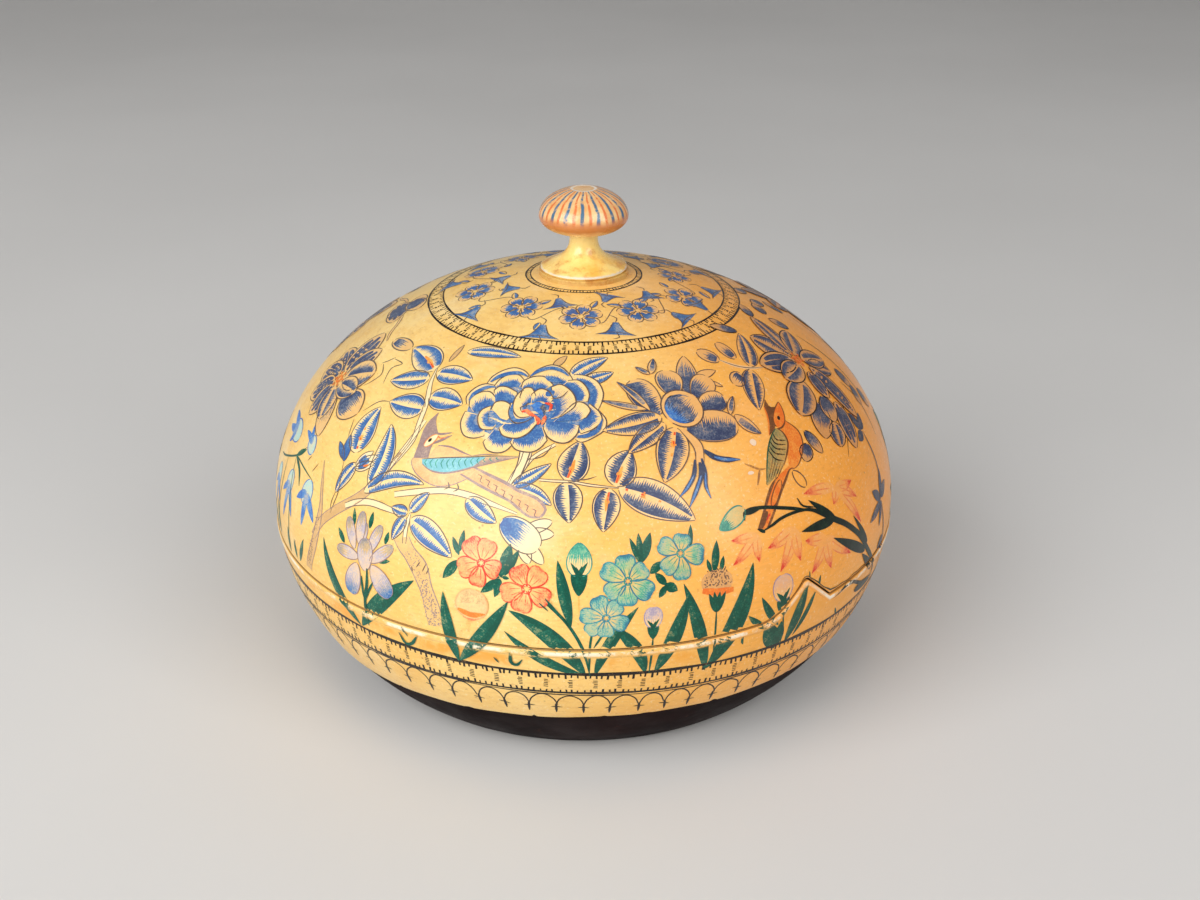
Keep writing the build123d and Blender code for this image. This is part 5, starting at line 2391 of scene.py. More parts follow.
@dataclass
class Stretch:
    """Part of the box with a start of its own, and the groups of motifs painted on it."""

    painter: Painter
    turn: float = 0.0
    mirrored: bool = False

    def brush(self, azimuth: float, polar: float, layer: int = 0, step: float = 1.0) -> BirdBrush:
        """Give a brush at a place on this stretch.

        Args:
            azimuth: degrees from the stretch's own start.
            polar: degrees down from the crown.
            layer: layer of paint that it starts on.
            step: distance between drawn points.

        Returns:
            The brush, on a card laid there.
        """
        turn = self.turn - azimuth if self.mirrored else self.turn + azimuth
        card = Card(self.painter.surface.form, turn, polar, mirrored=self.mirrored)
        return BirdBrush(self.painter, card, layer, step)

    def peony(self) -> None:
        """Paint the peony with its stem and leaves."""
        brush = self.brush(-11, 51)
        brush.band(
            Pigment.CREAM, [(-2, -9), (-2.2, -14), (-3.4, -19)],
            [(0.4, -9), (-0.4, -14), (-1.6, -19)],
        )
        brush.line(Pigment.UMBER, [(-2, -9), (-2.2, -14), (-3.4, -19)])
        brush.line(Pigment.UMBER, [(0.4, -9), (-0.4, -14), (-1.6, -19)])
        brush.line(Pigment.UMBER, [(4.4, -9), (3, -11.6), (0.2, -12.8)])
        brush.blue_leaf((5.4, 8.6), (12.6, 15.2), 4, 0.8)
        brush.blue_leaf((8, 7.4), (14.4, 11.2), 3.2, -0.5)
        brush.blue_leaf((-20, 15), (-6.4, 13.2), 3.4, 0.9)
        for base, tip, width in (((1.2, 10.8), (3.6, 14.4), 1.8), ((-24, 12), (-21.6, 17.4), 1.4)):
            brush.edged(Blade(base, tip, width), Pigment.BARK, Pigment.UMBER, 0.22, (0.9, 0.9))
        brush.layer += 3
        brush.peony()

    def sprig(self) -> None:
        """Paint the upright stem with its pairs of leaves."""
        brush = self.brush(-43, 55)
        stem = [
            (-0.7, 9.2), (0.9, 5.4), (2.9, 2.2), (4.2, -0.5), (5.2, -3.7), (6.4, -8), (5.6, -12.7),
            (4.2, -17),
        ]
        brush.vine(stem, 1.1, ends=(0.3, 0.9))
        brush.blue_leaf((-0.9, 8.6), (-12.5, 12.2), 7, -1.4, True)
        brush.blue_leaf((0.3, 8.2), (9.8, 9.8), 5.2, 0.5)
        brush.blue_leaf((-0.4, 6.4), (-10.4, 2.6), 5.2, 0.4)
        brush.blue_leaf((4.1, -0.6), (-6, -2), 6.4, 0.2)
        brush.blue_leaf((3.2, 2.4), (12, 3.6), 5.8, 0.4)
        brush.line(Pigment.UMBER, [(-6, -2), (-9, -3), (-12, -6.4)], 0.24)
        brush.layer += 3

    def bloom(self) -> None:
        """Paint the ball bloom and its neighbouring buds."""
        brush = self.brush(23, 53)
        brush.pale, brush.blue = Pigment.BUFF, Pigment.SLATE
        stem = [(15, 11.6), (18.4, 9.6), (22.4, 8.6), (27, 8.6)]
        brush.line(Pigment.CREAM, stem, 0.9, 1, 0)
        brush.line(Pigment.UMBER, stem, 0.26, 1, 1)
        brush.line(Pigment.UMBER, [(22, 8.4), (20, 7), (18.6, 7)], 0.26, 1, 1)
        brush.berry((15, 11.4), (10.6, 14.8), 3.8)
        brush.berry((19.8, 11.6), (17.2, 17), 3.6)
        brush.berry((18.8, 7.2), (15.4, 4.4), 4)
        brush.blue_leaf((22.8, 9), (26.6, 20.2), 5.4, -1)
        brush.blue_leaf((22.4, 8), (19, -3), 6, -1)
        brush.layer += 3
        brush.layered_bloom()

    def branch(self) -> None:
        """Paint the cream branch with its perched bird."""
        brush = self.brush(-25.4, 63.8)
        brush.vine([(14.3, 7.4), (14.5, 3.7), (13.8, 1), (12.4, -2.4)], 1.9)
        brush.vine([(19.7, 8.8), (15.9, 4.9), (14.7, 1)], 0.8)
        brush.vine(
            [(-12.5, -9.2), (-9.8, -8.3), (-5.2, -6.9), (0, -5.7), (5.1, -5.7), (9.7, -6.4),
             (16.4, -7.6)],
            1.4,
        )
        brush.blue_leaf((13.4, -2.1), (20.3, 4.5), 3, -0.5)
        brush.blue_leaf((13.5, -2.3), (23.2, -4.5), 3.4, 1.6)
        brush.blue_leaf((4.9, -6.3), (12.6, -10.4), 4.4, -0.6)
        brush.layer += 3
        brush.looking_back()

    def trunk(self) -> None:
        """Paint the thin trunk at the left with its branches and leaves."""
        brush = self.brush(-46, 74, 0, 0.6)
        left = [
            (-13, -23.4), (-12.5, -21.5), (-9.6, -13.7), (-8.7, -6.2), (-10.2, -1.8), (-12.8, 3.6)
        ]
        right = [(-10.3, -23.8), (-10.2, -22.3), (-7.6, -15.2), (-7, -8), (-9.2, -2), (-12.6, 3.7)]
        brush.band(Pigment.BARK, left, right, (1, 0.7))
        brush.line(Pigment.MAUVE, left, 0.3)
        brush.line(Pigment.MAUVE, right, 0.26)
        brush.vine(
            [(-9.2, -13.2), (-6.6, -8.6), (-2.5, -4.5), (3, 0.3), (6.3, 4.9), (7.7, 8.5),
             (8.8, 12.6)],
            2.2, Pigment.BARK, Pigment.MAUVE, (0.9, 0.35),
        )
        brush.vine([(7.2, 7), (8.6, 12), (9.6, 17.4), (9.9, 21)], 1.1, ends=(0.8, 0.8))
        brush.vine([(0, -2.6), (3, -0.8), (7.5, 0.6), (15.2, 0.9)], 1.4, ends=(0.8, 0.6))
        brush.line(Pigment.UMBER, [(-4.2, -5.8), (-3.8, -3.2), (-3.7, -0.1), (-5.9, 5.8)], 0.24)
        bark = ((-12.2, -22), (-10.4, -22.6), (-7.8, -9), (-8.8, -8))
        brush.stipple(Pigment.UMBER, bark, 60, 0.3)
        brush.blue_leaf((-1.7, 6.4), (-4.5, -1.2), 3.6, -0.6)
        brush.line(Pigment.UMBER, [(-4.5, -1.2), (-4.8, -3.4), (-4.4, -5.2)], 0.24)
        for leaf in (
            Blade((-6.2, 6), (-10.6, 8.9), 1.6), Blade((-5.8, 5.6), (-8.2, 11.4), 2.6)
        ):
            brush.fill(leaf, brush.blue, (1, 0.8), up=1)
            brush.outline(leaf, None, 0.22)
        brush.line(Pigment.UMBER, [(-8.6, 10.6), (-10.4, 14.6)], 0.2)
        for base, tip, width in (
            ((-1.6, 5.4), (3.4, 8.2), 2.2), ((-1.4, 5.6), (3.2, 10), 2.4),
            ((-1.6, 6), (1.4, 10.4), 2.4),
        ):
            petal = Blade(base, tip, width)
            brush.edged(petal, brush.pale, None, 0.22)
            brush.fill(petal, brush.blue, (1, 0.6), (0.2, 0.62), (-0.6, 0.6), 1)
        brush.line(Pigment.ORANGE, [(0.6, 6.6), (2, 7.4)], 0.5)
        brush.blue_leaf((-3.4, 8.4), (-4.6, 19.6), 7.2, 1.8, True)
        brush.blue_leaf((4.6, 3.4), (1.7, 17.2), 5.4, -3.4)
        brush.blue_leaf((4, 1.9), (18.4, 8.4), 3.8, 4)
        brush.layer += 3
        low = self.brush(-39.6, 82, brush.layer, 0.6)
        low.lance((-0.8, -18.8), (-13.2, -0.8), 3, 2.6)
        low.lance((-0.5, -18.8), (14.8, -1.7), 4.2, 2.2)
        low.iris()

    def bells(self) -> None:
        """Paint the hanging bells at the left."""
        brush = self.brush(-70, 76, 0, 0.6)
        for points, width in (
            ([(-10, -3.4), (-5.2, -2.2), (2.8, 1.4), (6.2, 5)], 0.5),
            ([(2.8, 1.4), (6.4, 1.4), (15.2, 0.8)], 0.34),
            ([(2.8, 1.4), (7.6, -0.2), (10.4, -3)], 0.8),
            ([(9.8, -20), (8.4, -12), (6.4, -6), (2.8, 1.4)], 0.4),
            ([(-1, -20.4), (-1.2, -8), (-2.4, -1)], 0.34),
        ):
            brush.line(Pigment.GREEN, points, width)
        brush.line(Pigment.BROWN, [(9.6, 3.2), (10.4, 4.8)], 0.24)
        brush.line(Pigment.BROWN, [(13.7, 2.3), (14.7, 4.8)], 0.24)
        brush.lance((2.6, 1.4), (6.6, 4.6), 1.5)
        brush.bell((14.6, 0.6), (15.6, -5.2), 5.2, ((10.9, -5.6), (16.4, -10.6), (21.8, -7.4)))
        brush.bell((4.4, -1.6), (4.8, -7.4), 4.4, ((0.6, -8.4), (3.8, -14), (9.8, -11.6)))
        brush.bell((9.9, 5), (5.6, 7.6), 3.4, ((1.6, 7.4), (3.6, 9.6)))
        brush.bell((-0.6, 4.2), (-8.4, 5), 4.8, ((-13.4, 6.6), (-12.6, 3), (-7, 0.8)))
        brush.bell((-6.6, -4.6), (-5.6, -10.6), 4.4, ((-9.8, -11), (-6.4, -15.6), (-1.4, -13)))
        for base, tip, width in (
            ((10.4, -21.6), (8, -15), 1.6), ((17, -21), (18.6, -13.4), 1.8),
            ((15, -21), (13, -16.2), 1.4), ((1, -21), (-3.4, -12.6), 2),
            ((-2.4, -21.4), (-8.4, -14.8), 2.2),
        ):
            brush.lance(base, tip, width)
        brush.layer += 3

    def coral(self) -> None:
        """Paint the bark stump, its four leaves and the coral flowers."""
        brush = self.brush(-14, 84, 0, 0.6)
        left = [(-25.6, 9), (-23.5, 6.8), (-21.4, 5.1), (-18.8, 1.8), (-16.7, -2.1), (-15.4, -8.7)]
        right = [
            (-21.4, 10.1), (-19.5, 7.9), (-16.1, 5.2), (-14.4, 0.6), (-12.5, -3.8), (-11.4, -8.4)
        ]
        brush.band(Pigment.BARK, left, right, (0.5, 0.5))
        brush.line(Pigment.MAUVE, left, 0.3, 0.8)
        brush.line(Pigment.MAUVE, right, 0.3, 0.8)
        brush.stipple(
            Pigment.MAUVE, ((-18, 1.4), (-15, 1.8), (-11.8, -8.4), (-15.4, -8.8)), 170, 0.34
        )
        brush.stipple(Pigment.MAUVE, ((-22.6, 6.4), (-19, 8), (-15.4, 1.8), (-18.4, 1.6)), 60, 0.24)
        for foot, top in (
            ((-19.4, 2.5), (-19.7, 4.1)), ((-18.5, 4), (-17.6, 5.4)), ((-16.9, 3.4), (-16.1, 5.2)),
            ((-15.9, 3), (-15.3, 4.4)),
        ):
            brush.line(Pigment.UMBER, [foot, top], 0.3)
        brush.vine([(-22.4, 8.4), (-22.6, 12), (-22.2, 15.2)], 1)
        brush.blue_leaf((-21.8, 13.8), (-10.2, 7.4), 5.6, 1)
        brush.blue_leaf((-22.4, 15.4), (-18.4, 20.2), 3.2, 0.5)
        brush.blue_leaf((-23.2, 14.2), (-26, 8.6), 3.2, -0.5)
        brush.blue_leaf((-23, 15.2), (-28, 15.8), 2.8, 0.4)
        brush.layer += 3
        bloom = Blade((-0.4, 16.2), (8.2, 11.4), 6.2, 0.4, 0.5, 0.42)
        for end in ((10.6, 17.2), (11.2, 14.6), (9.4, 8.4), (6.4, 8.2)):
            petal = Blade((3.4, 13.6), end, 2.6, 0.4, 0.8, 0.6)
            brush.edged(petal, Pigment.CREAM, Pigment.UMBER, 0.22)
        brush.layer += 3
        brush.fill(bloom, Pigment.CREAM)
        brush.comb_end(bloom, Pigment.BLUE, 0.02, 0.46, 0.7, (-0.84, 0.84), (1, 0.7))
        brush.outline(bloom, Pigment.UMBER, 0.24)
        for base, tip, width in (
            ((-8.6, 8.2), (-10.6, 11.8), 1.3), ((-8.5, 9), (-8.2, 13.5), 1.3),
            ((-8.6, 7.2), (-11.9, 2.9), 2.2), ((1, 5.1), (2.3, 11.9), 2.6),
            ((1.6, 5.3), (4.2, 10.9), 1.6), ((0.8, 4.6), (-3.3, 1.2), 1.9),
            ((0.9, 4.4), (-0.3, 0.6), 1.6), ((0.6, 4.8), (-2, 5.2), 0.9), ((1, 5), (2.6, 4.8), 0.8),
            ((1, 4.8), (0, 6.6), 0.8),
        ):
            brush.lance(base, tip, width)
        brush.layer += 3
        brush.open_flower(
            (-3.6, 7.3),
            (((-7.2, 12.2), 5.2), ((0.8, 5.8), 4.6), ((-8.9, 5.2), 5.2), ((-2.1, 12.5), 4.9),
             ((-4.4, 2), 4.2)),
            Pigment.CORAL, Pigment.CORAL, 0.4, 0.8,
        )
        brush.open_flower(
            (6.3, 3.1),
            (((3.8, 7.9), 5), ((11.4, 0.7), 4.9), ((0.6, 1.4), 4.8), ((9.6, 7.6), 5),
             ((4.9, -2.3), 5)),
            Pigment.CORAL, Pigment.CORAL, 0.4, 1,
        )
        brush.line(Pigment.GREEN, [(10.2, 1.4), (13.4, -2.1), (15.2, -4.4)], 0.5)
        brush.line(Pigment.GREEN, [(9, 0.4), (11, -1.3)], 0.3)
        ball = oval((-5.4, -4.9), (-4.9, 1.7), 7)
        brush.edged(ball, Pigment.PEACH, Pigment.PEACH, 0.3, (0.5, 0.7))
        brush.stipple(Pigment.BARK, ((-7.8, -1.6), (-2.4, -1.2), (-3, 1), (-7, 0.8)), 70, 0.4)
        brush.line(Pigment.ORANGE, [(-8.2, -3), (-5.2, -3.9), (-2.2, -3.4)], 1.2, 1, 3)
        brush.line(Pigment.CORAL, [(-7, -4.6), (-5.2, -5), (-3.4, -4.6)], 0.5, 0.6, 3)
        brush.lance((-8.9, -16.8), (-11.7, 0.2), 2.8, 0.5)
        brush.lance((-8.8, -16.6), (2.6, 0.1), 3.4, -0.8)
        for points, width in (
            ([(-24.2, -13.2), (-22.8, -15.8), (-20.8, -15.2), (-18.8, -12.2)], 0.8),
            ([(-22.9, -11), (-22.3, -12.4), (-21.7, -13.6)], 0.4),
            ([(-0.7, -13.8), (0.4, -15.2)], 0.4),
            ([(3, -11.7), (3.1, -14.6), (4.4, -15.2), (5.6, -13.6)], 0.8),
        ):
            brush.line(Pigment.GREEN, points, width, 1, 3, (0.2, 0.2))
        brush.layer += 3

    def turquoise(self) -> None:
        """Paint the turquoise flowers with their buds and long leaves."""
        brush = self.brush(4, 84, 0, 0.6)
        brush.line(Pigment.GREEN, [(-14.4, 1.6), (-9.1, -3.6), (-5.7, -10.2), (-4.2, -17.9)], 0.7)
        brush.lance((-5.2, -18), (-21.4, -1.6), 4, -4.6)
        brush.lance((-5.4, -17.6), (-22.6, -6.6), 2.6, 2.6)
        brush.line(Pigment.GREEN, [(-3.5, -5), (-4.2, -9.9), (-4.4, -17.6)], 0.5)
        brush.line(Pigment.GREEN, [(-1.2, -6), (-3.4, -9.9)], 0.5)
        brush.line(Pigment.ORANGE, [(-6.3, 3.6), (-6.3, -1.4)], 0.3, 0.5)
        brush.lance((-8, -4.8), (-10.6, 9.4), 2.6)
        brush.lance((-3.2, -17.9), (5.9, -0.7), 2.6, 2.8)
        brush.lance((7.8, -18), (0.2, -4.6), 3, -3.2)
        brush.lance((9.9, -18.2), (16.6, 0.9), 3.6, -0.8)
        brush.line(Pigment.GREEN, [(9, -8.3), (8.9, -12.4), (8.7, -18)], 0.5)
        for base, tip, width in (
            ((6.6, 8), (4.4, 13.5), 1.3), ((6.6, 8.4), (6.3, 14.4), 1.5),
            ((6.8, 8.4), (8.9, 14.4), 2), ((8.4, 6), (11, 8.4), 1.9),
            ((11.8, 3.4), (9.4, 6.1), 1.7), ((11.8, 3.4), (10.1, 0.8), 1.5),
            ((11.4, 3.6), (14.2, 2), 2.2), ((17.4, 10.4), (18.1, 15.5), 1.2),
            ((2.4, -0.6), (-0.4, -2.8), 1),
        ):
            brush.lance(base, tip, width)
        brush.layer += 3
        brush.calyx_bud((-6.3, 2), (-6, 12.9), 5.2, Pigment.TEAL, 1, 0.72)
        brush.calyx_bud((9, -8.5), (8.9, -1), 3.8, Pigment.LILAC, 0.9)
        brush.layer += 6
        brush.open_flower(
            (-0.8, -2.8),
            (((-2.9, 2.2), 4.2), ((3.9, -4.8), 4.2), ((-5.1, -6.4), 3.9), ((2.1, 0.6), 4.2),
             ((-1, -7.5), 3.9), ((-6.6, -1.9), 4)),
            Pigment.CYAN,
        )
        brush.open_flower(
            (3.7, 4.8),
            (((3.1, 10.6), 4.8), ((9.1, 1.6), 5), ((-1.2, 2), 4.4), ((7.9, 7.7), 4.4),
             ((3.4, -0.8), 4.8), ((-2, 7.9), 4.4)),
            Pigment.TEAL,
        )
        third = self.brush(24, 85, brush.layer, 0.6)
        third.open_flower(
            (-10.5, 10.8),
            (((-9.3, 15), 4.4), ((-5, 9.6), 5), ((-10.8, 4.9), 4.5), ((-15, 7.4), 4.4),
             ((-15.2, 13.9), 4.4)),
            Pigment.TEAL,
        )

    def bud(self) -> None:
        """Paint the buds and long leaves at the right, down to the tooth."""
        brush = self.brush(24, 85, 0, 0.6)
        for points in (
            [(-3.6, -2.6), (-3.8, -9), (-3.9, -14)], [(13.5, -7.7), (14.3, -13.4), (14.4, -18)]
        ):
            brush.line(Pigment.GREEN, points, 0.44, 0.9)
        for base, tip, width, bend in (
            ((-5.4, -18.6), (-10.5, 4.6), 3, -1.2), ((-5.2, -18), (5.8, 5.8), 4.6, -1.8),
            ((-3.6, 5.4), (-2, 12), 1.8, 0), ((-4.2, 5.6), (-4.8, 8.6), 1, 0),
            ((-2, 5.5), (-1, 8.6), 1.1, 0), ((12.6, -11), (7.4, -2.4), 1.9, 0.6),
            ((9.2, -10.6), (4.1, -5.9), 1.6, 0.5), ((12.8, -18), (9, -9), 4.4, 0),
            ((13.2, -17.6), (13.4, -10.2), 3, 0), ((15.8, -17.4), (20.9, -3), 3.2, 0),
            ((18, -16.2), (24, -5.8), 1.7, -0.4), ((21.5, -2.4), (21.4, -0.4), 0.5, 0),
            ((25, -5.6), (25.4, -2.6), 0.9, 0.3), ((3.4, -13.2), (3.2, -10.8), 0.7, 0.5),
            ((36.6, -18.8), (34.7, -15.6), 0.8, 0),
        ):
            brush.lance(base, tip, width, bend)
        brush.layer += 3
        dome = Blade((-3.3, 0.6), (-2.9, 6), 7.2, 0, 0.5, 0.42)
        brush.fill(dome, Pigment.BARK, (0.7, 0.9), (0.2, 1))
        brush.stipple(Pigment.UMBER, ((-6, 2.8), (0.2, 2.4), (-0.8, 6), (-5, 6.2)), 90, 0.34)
        brush.line(Pigment.ORANGE, [(-6.5, 2.2), (-3.2, 1.4), (0.5, 1.2)], 1.5, 1, 4, (0.7, 0.7))
        for end in ((-5.1, 1.4), (-3.9, 1.6), (-2.6, 1.4), (-1.3, 1.2)):
            brush.fill(Blade((-3.6, -3), end, 1.4, 0, 0.5, 0.9), Pigment.GREEN, up=5)
        brush.calyx_bud((13.5, -8.6), (13.1, 1.2), 5.6, Pigment.LILAC, 0.5)
        brush.layer += 6

    def lily(self) -> None:
        """Paint the dark branch with its faint red lilies and the standing bird."""
        brush = self.brush(48, 72, 0, 0.7)
        brush.lily((-22.8, -5), ((-30, -4.3), (-24.6, -11.4), (-31.8, -10.1)))
        brush.lily((-12.6, -7), ((-19.7, -15.8), (-13.2, -15.2), (-21.4, -9)), 3.2)
        brush.lily((-4, -12.6), ((-10.6, -11), (-3.4, -21.4), (-10.4, -20), (5, -20.8)), 3.2)
        brush.lily(
            (3.6, -3.4), ((1.2, -6.6), (-6.8, -1.2), (10.9, -8.4), (10.6, -4.2), (10.8, -15))
        )
        brush.layer += 3
        self.brush(42.2, 65, brush.layer, 0.7).upright()
        brush.layer += 12
        for points, width in (
            ([(-20.9, -4.8), (-18.2, -4.4), (-15.1, -3.8), (-10.9, -3.9), (-6.7, -4.9)], 0.7),
            ([(-8.6, -4.2), (-6, -5.2), (-3.7, -6.8), (0.5, -10), (4.2, -12.7), (9.2, -17.5),
             (13.8, -23.5), (21.8, -33.5), (23.2, -39.6)], 1.5),
            ([(-24.2, 0.5), (-21.6, 0.6), (-18.2, -0.2), (-14, -1.8), (-9.7, -3.6), (-5.6, -5.6)],
             0.8),
            ([(-9, -1.3), (-8.2, -3.4), (-4.8, -5)], 0.45), ([(-24.2, 0.5), (-24.6, -1.2)], 0.5),
            ([(23, -38), (14, -35.4), (5.2, -30.3), (-2, -32)], 1.2),
        ):
            brush.line(Pigment.MYRTLE, points, width, 1, 1)
        for base, tip, width in (
            ((-24.2, 0.4), (-18.6, 0.2), 1.5), ((0.5, -10), (-6.2, -2.8), 2),
            ((-0.2, -9.8), (-11, -8.6), 2.4), ((12.4, -23.6), (-1.6, -13.8), 2.8),
            ((19.9, -33.6), (10.8, -23.8), 2.6), ((13.6, -21.7), (7.5, -11.8), 1.6),
            ((-20.6, -5.2), (-22.4, -3.9), 0.9), ((10, -36), (22.6, -39), 3.2),
        ):
            brush.fill(Blade(base, tip, width, 0, 0.5, 0.95), Pigment.MYRTLE, up=2)
        bud = Blade((-23.6, 1.6), (-31.8, -1.1), 3.8, 0.5, 0.5, 0.8)
        brush.fill(bud, Pigment.TEAL, (0.2, 0.3))
        brush.comb_end(bud, Pigment.TEAL, 0.98, 0.7, 0.5, (-0.9, 0.9), (1, 0.9))
        brush.outline(bud, Pigment.TEAL, 0.36)
        for base, tip, width in (
            ((25, -14.5), (19.4, -10.4), 2.8), ((25, -15), (15.8, -17.4), 2.6),
            ((25.2, -15.2), (22.6, -21.4), 2.2), ((25.4, -14.2), (31.6, -11.6), 3),
            ((25.2, -14), (28.2, -7.4), 2.6), ((26, 3), (21.6, 1.8), 2.6),
            ((26, 3.4), (23.8, 8.6), 2.8), ((26.2, 3.4), (30, 7), 3),
            ((27.4, -26), (23, -28.6), 2.4), ((27.4, -26), (25.6, -33), 2.4),
        ):
            brush.fill(Blade(base, tip, width), Pigment.DEEP, (0.9, 0.7))
        brush.line(Pigment.DEEP, [(26.4, 3), (27.6, -6), (25.8, -14)], 0.5)
        brush.line(Pigment.DEEP, [(25.4, -15), (27.6, -23.8), (29, -32), (28.6, -40.4)], 0.6)
        twig = self.brush(42.2, 65, 3)
        twig.line(Pigment.BROWN, [(-11.2, 0.5), (-8.3, -1.8), (-6.7, -2.1)], 0.5, 0.5)
        twig.line(Pigment.BROWN, [(-8.3, -1.8), (-10.6, -4.8)], 0.5, 0.5)
        twig.outline(Blade((-0.2, -4.9), (1.8, -9.3), 2.6, 0, 0.6, 0.5), Pigment.UMBER, 0.3)
        for place, width in (((-6.4, 4), 1.6), ((-10.8, -1.8), 0.8)):
            chip = Blade(
                (place[0] - 0.8, place[1]), (place[0] + 0.8, place[1] - 0.2), width, 0.2, 0.5, 0.5
            )
            twig.fill(chip, Pigment.CHALK)

    def star(self) -> None:
        """Paint the two open flowers of long petals, with the buds and leaves beside them."""
        left = self.brush(-66, 57)
        left.pale, left.blue = Pigment.BUFF, Pigment.SLATE
        left.berry((-2.8, 11.6), (5.3, 13.2), 3.6)
        left.line(Pigment.UMBER, [(2.6, 6.3), (3.6, 7.6), (4.5, 9.4)], 0.26)
        left.line(Pigment.UMBER, [(4.8, 9), (8.4, 9.4), (7, 7), (9.6, 3.4)], 0.26)
        left.line(Pigment.UMBER, [(3.4, 6.4), (6.2, 4.6), (5.6, 1.6), (4.6, 0)], 0.26)
        left.layer += 3
        star = self.brush(-72.3, 59.9, left.layer)
        star.pale, star.blue = Pigment.BUFF, Pigment.SLATE
        star.vine([(-8.4, 19.4), (-5.2, 17.6), (-2.5, 15.2), (0.4, 13.6)], 0.8, Pigment.BUFF)
        star.star_petal((-9, 19), (-21, 19.6), 5.6)
        star.star_petal((-10, 22), (-18, 26), 5, Marking.ROOTED)
        for base, tip, width, marking in (
            ((-1.6, 1.4), (-11.5, 4.4), 6.5, Marking.RIBBED),
            ((-1.8, 0.2), (-12.6, -3), 6.4, Marking.RIBBED),
            ((-1.2, -1.2), (-8.4, -9.2), 6.2, Marking.RIBBED),
            ((-0.6, 1.8), (-4.2, 14.2), 7.4, Marking.RIBBED),
            ((1.8, -1.6), (11, -12), 5.4, Marking.ROOTED),
            ((0, -1.8), (-0.6, -11.4), 6, Marking.RIBBED),
            ((0.8, 1.8), (2.8, 11.8), 5.8, Marking.RIBBED),
            ((8, -1), (17.8, -0.8), 7.2, Marking.ROOTED),
            ((1.2, -1.6), (6.4, -9.2), 6, Marking.HALVED),
            ((1.6, 1), (9.8, 7.8), 7.6, Marking.HALVED),
            ((2, -0.4), (10.6, 1.6), 5.4, Marking.HALVED),
        ):
            star.star_petal(base, tip, width, marking)
        star.star_heart(1.9)
        right = self.brush(68.4, 53.1)
        right.pale, right.blue, right.ink = Pigment.BARK, Pigment.SLATE, Pigment.INK
        for points in (
            [(5, -7), (2, -14), (-9, -23), (-12, -26)], [(9, -12), (12, -20), (10.6, -31)],
            [(12, 3), (16, -8), (18, -22)],
        ):
            right.line(Pigment.INK, points, 0.32, 0.9)
        for base, tip, width, marking in (
            ((-20, -12), (-20.2, -19.6), 3, Marking.ROOTED),
            ((-22.5, -14.8), (-27.2, -18.2), 3.6, Marking.ROOTED),
            ((12, -9), (14, -16), 3.2, Marking.ROOTED), ((14, -15), (12, -21), 3.2, Marking.ROOTED),
            ((17.6, -18), (20, -25), 3.6, Marking.ROOTED),
            ((13, 5.6), (10.2, 10.6), 2.8, Marking.ROOTED),
            ((12, 12), (15.4, 15.8), 3, Marking.ROOTED),
            ((5.6, 14), (9.6, 18), 2.6, Marking.ROOTED),
            ((-5.6, 14.4), (-9.4, 20), 2.4, Marking.ROOTED),
            ((-2, -13), (-6.6, -26.2), 5.6, Marking.RIBBED),
            ((-8.5, -16), (-12.6, -22.2), 5.2, Marking.HALVED),
            ((-8.5, -9.5), (-15.8, -17.4), 6, Marking.ROOTED),
            ((-5, -9.5), (-8.2, -16.4), 5, Marking.ROOTED),
            ((-1.5, 1), (-4.6, 11.4), 6.6, Marking.HALVED),
            ((0, 1.5), (5, 14.2), 4.2, Marking.HALVED), ((0.8, 1), (9.7, 5.8), 5.2, Marking.HALVED),
            ((2, -2.5), (8.2, -8.4), 4.2, Marking.HALVED),
            ((1.5, -0.5), (10.2, -5.2), 5, Marking.HALVED),
            ((1, -3), (3.2, -21), 4.8, Marking.RIBBED),
            ((-1.5, -3.5), (-3.2, -11.4), 4, Marking.RIBBED),
            ((-6.5, -3.5), (-17, -8.9), 7.4, Marking.HALVED),
            ((-1.5, 0.4), (-12.4, 5.6), 5.6, Marking.RIBBED),
            ((-1.5, -1), (-10.6, -0.6), 5.6, Marking.HALVED),
        ):
            right.star_petal(base, tip, width, marking)
        right.star_heart(1.8)

    def hanging(self) -> None:
        """Paint the spray of hanging leaves below the peony."""
        brush = self.brush(3, 70)
        brush.blue = Pigment.SLATE
        brush.vine([(-12.6, 7.6), (-9.8, 7.3), (-5.9, 7), (-2, 6.2), (3.7, 5.5)], 0.5)
        brush.line(Pigment.UMBER, [(-5.4, 7.4), (-3, 7.4), (-0.7, 8)], 0.24)
        brush.line(Pigment.UMBER, [(6.7, 13.3), (10.4, 14), (14.3, 15.6)], 0.3)
        brush.blue_leaf((-7, 7.2), (-3.8, 15.8), 6.6, -0.6, True)
        brush.blue_leaf((-6.8, 7), (-6.6, -1.4), 6, 0)
        brush.blue_leaf((3, 5.9), (6.8, 13.4), 6.6, 0.6, True)
        brush.blue_leaf((1.9, 5.4), (0.2, -3.4), 5.6, -0.4, True)
        brush.blue_leaf((3.7, 5.6), (19.9, -1.8), 7.6, 1.4, True)
        brush.layer += 3

    def iris_stand(self) -> None:
        """Paint an iris between two long leaves."""
        brush = self.brush(0, 83, 0, 0.6)
        brush.lance((1.4, -17), (-8.6, -2.4), 3, 1.4)
        brush.lance((2.4, -17), (12.6, -5.4), 3.8, -1.4)
        brush.layer += 3
        brush.iris()

    def paint(self) -> None:
        """Paint the groups in order, each over the ones before it."""
        self.sprig()
        self.branch()
        self.peony()
        self.bloom()
        self.star()
        self.trunk()
        self.bells()
        self.hanging()
        self.coral()
        self.turquoise()
        self.bud()
        self.lily()


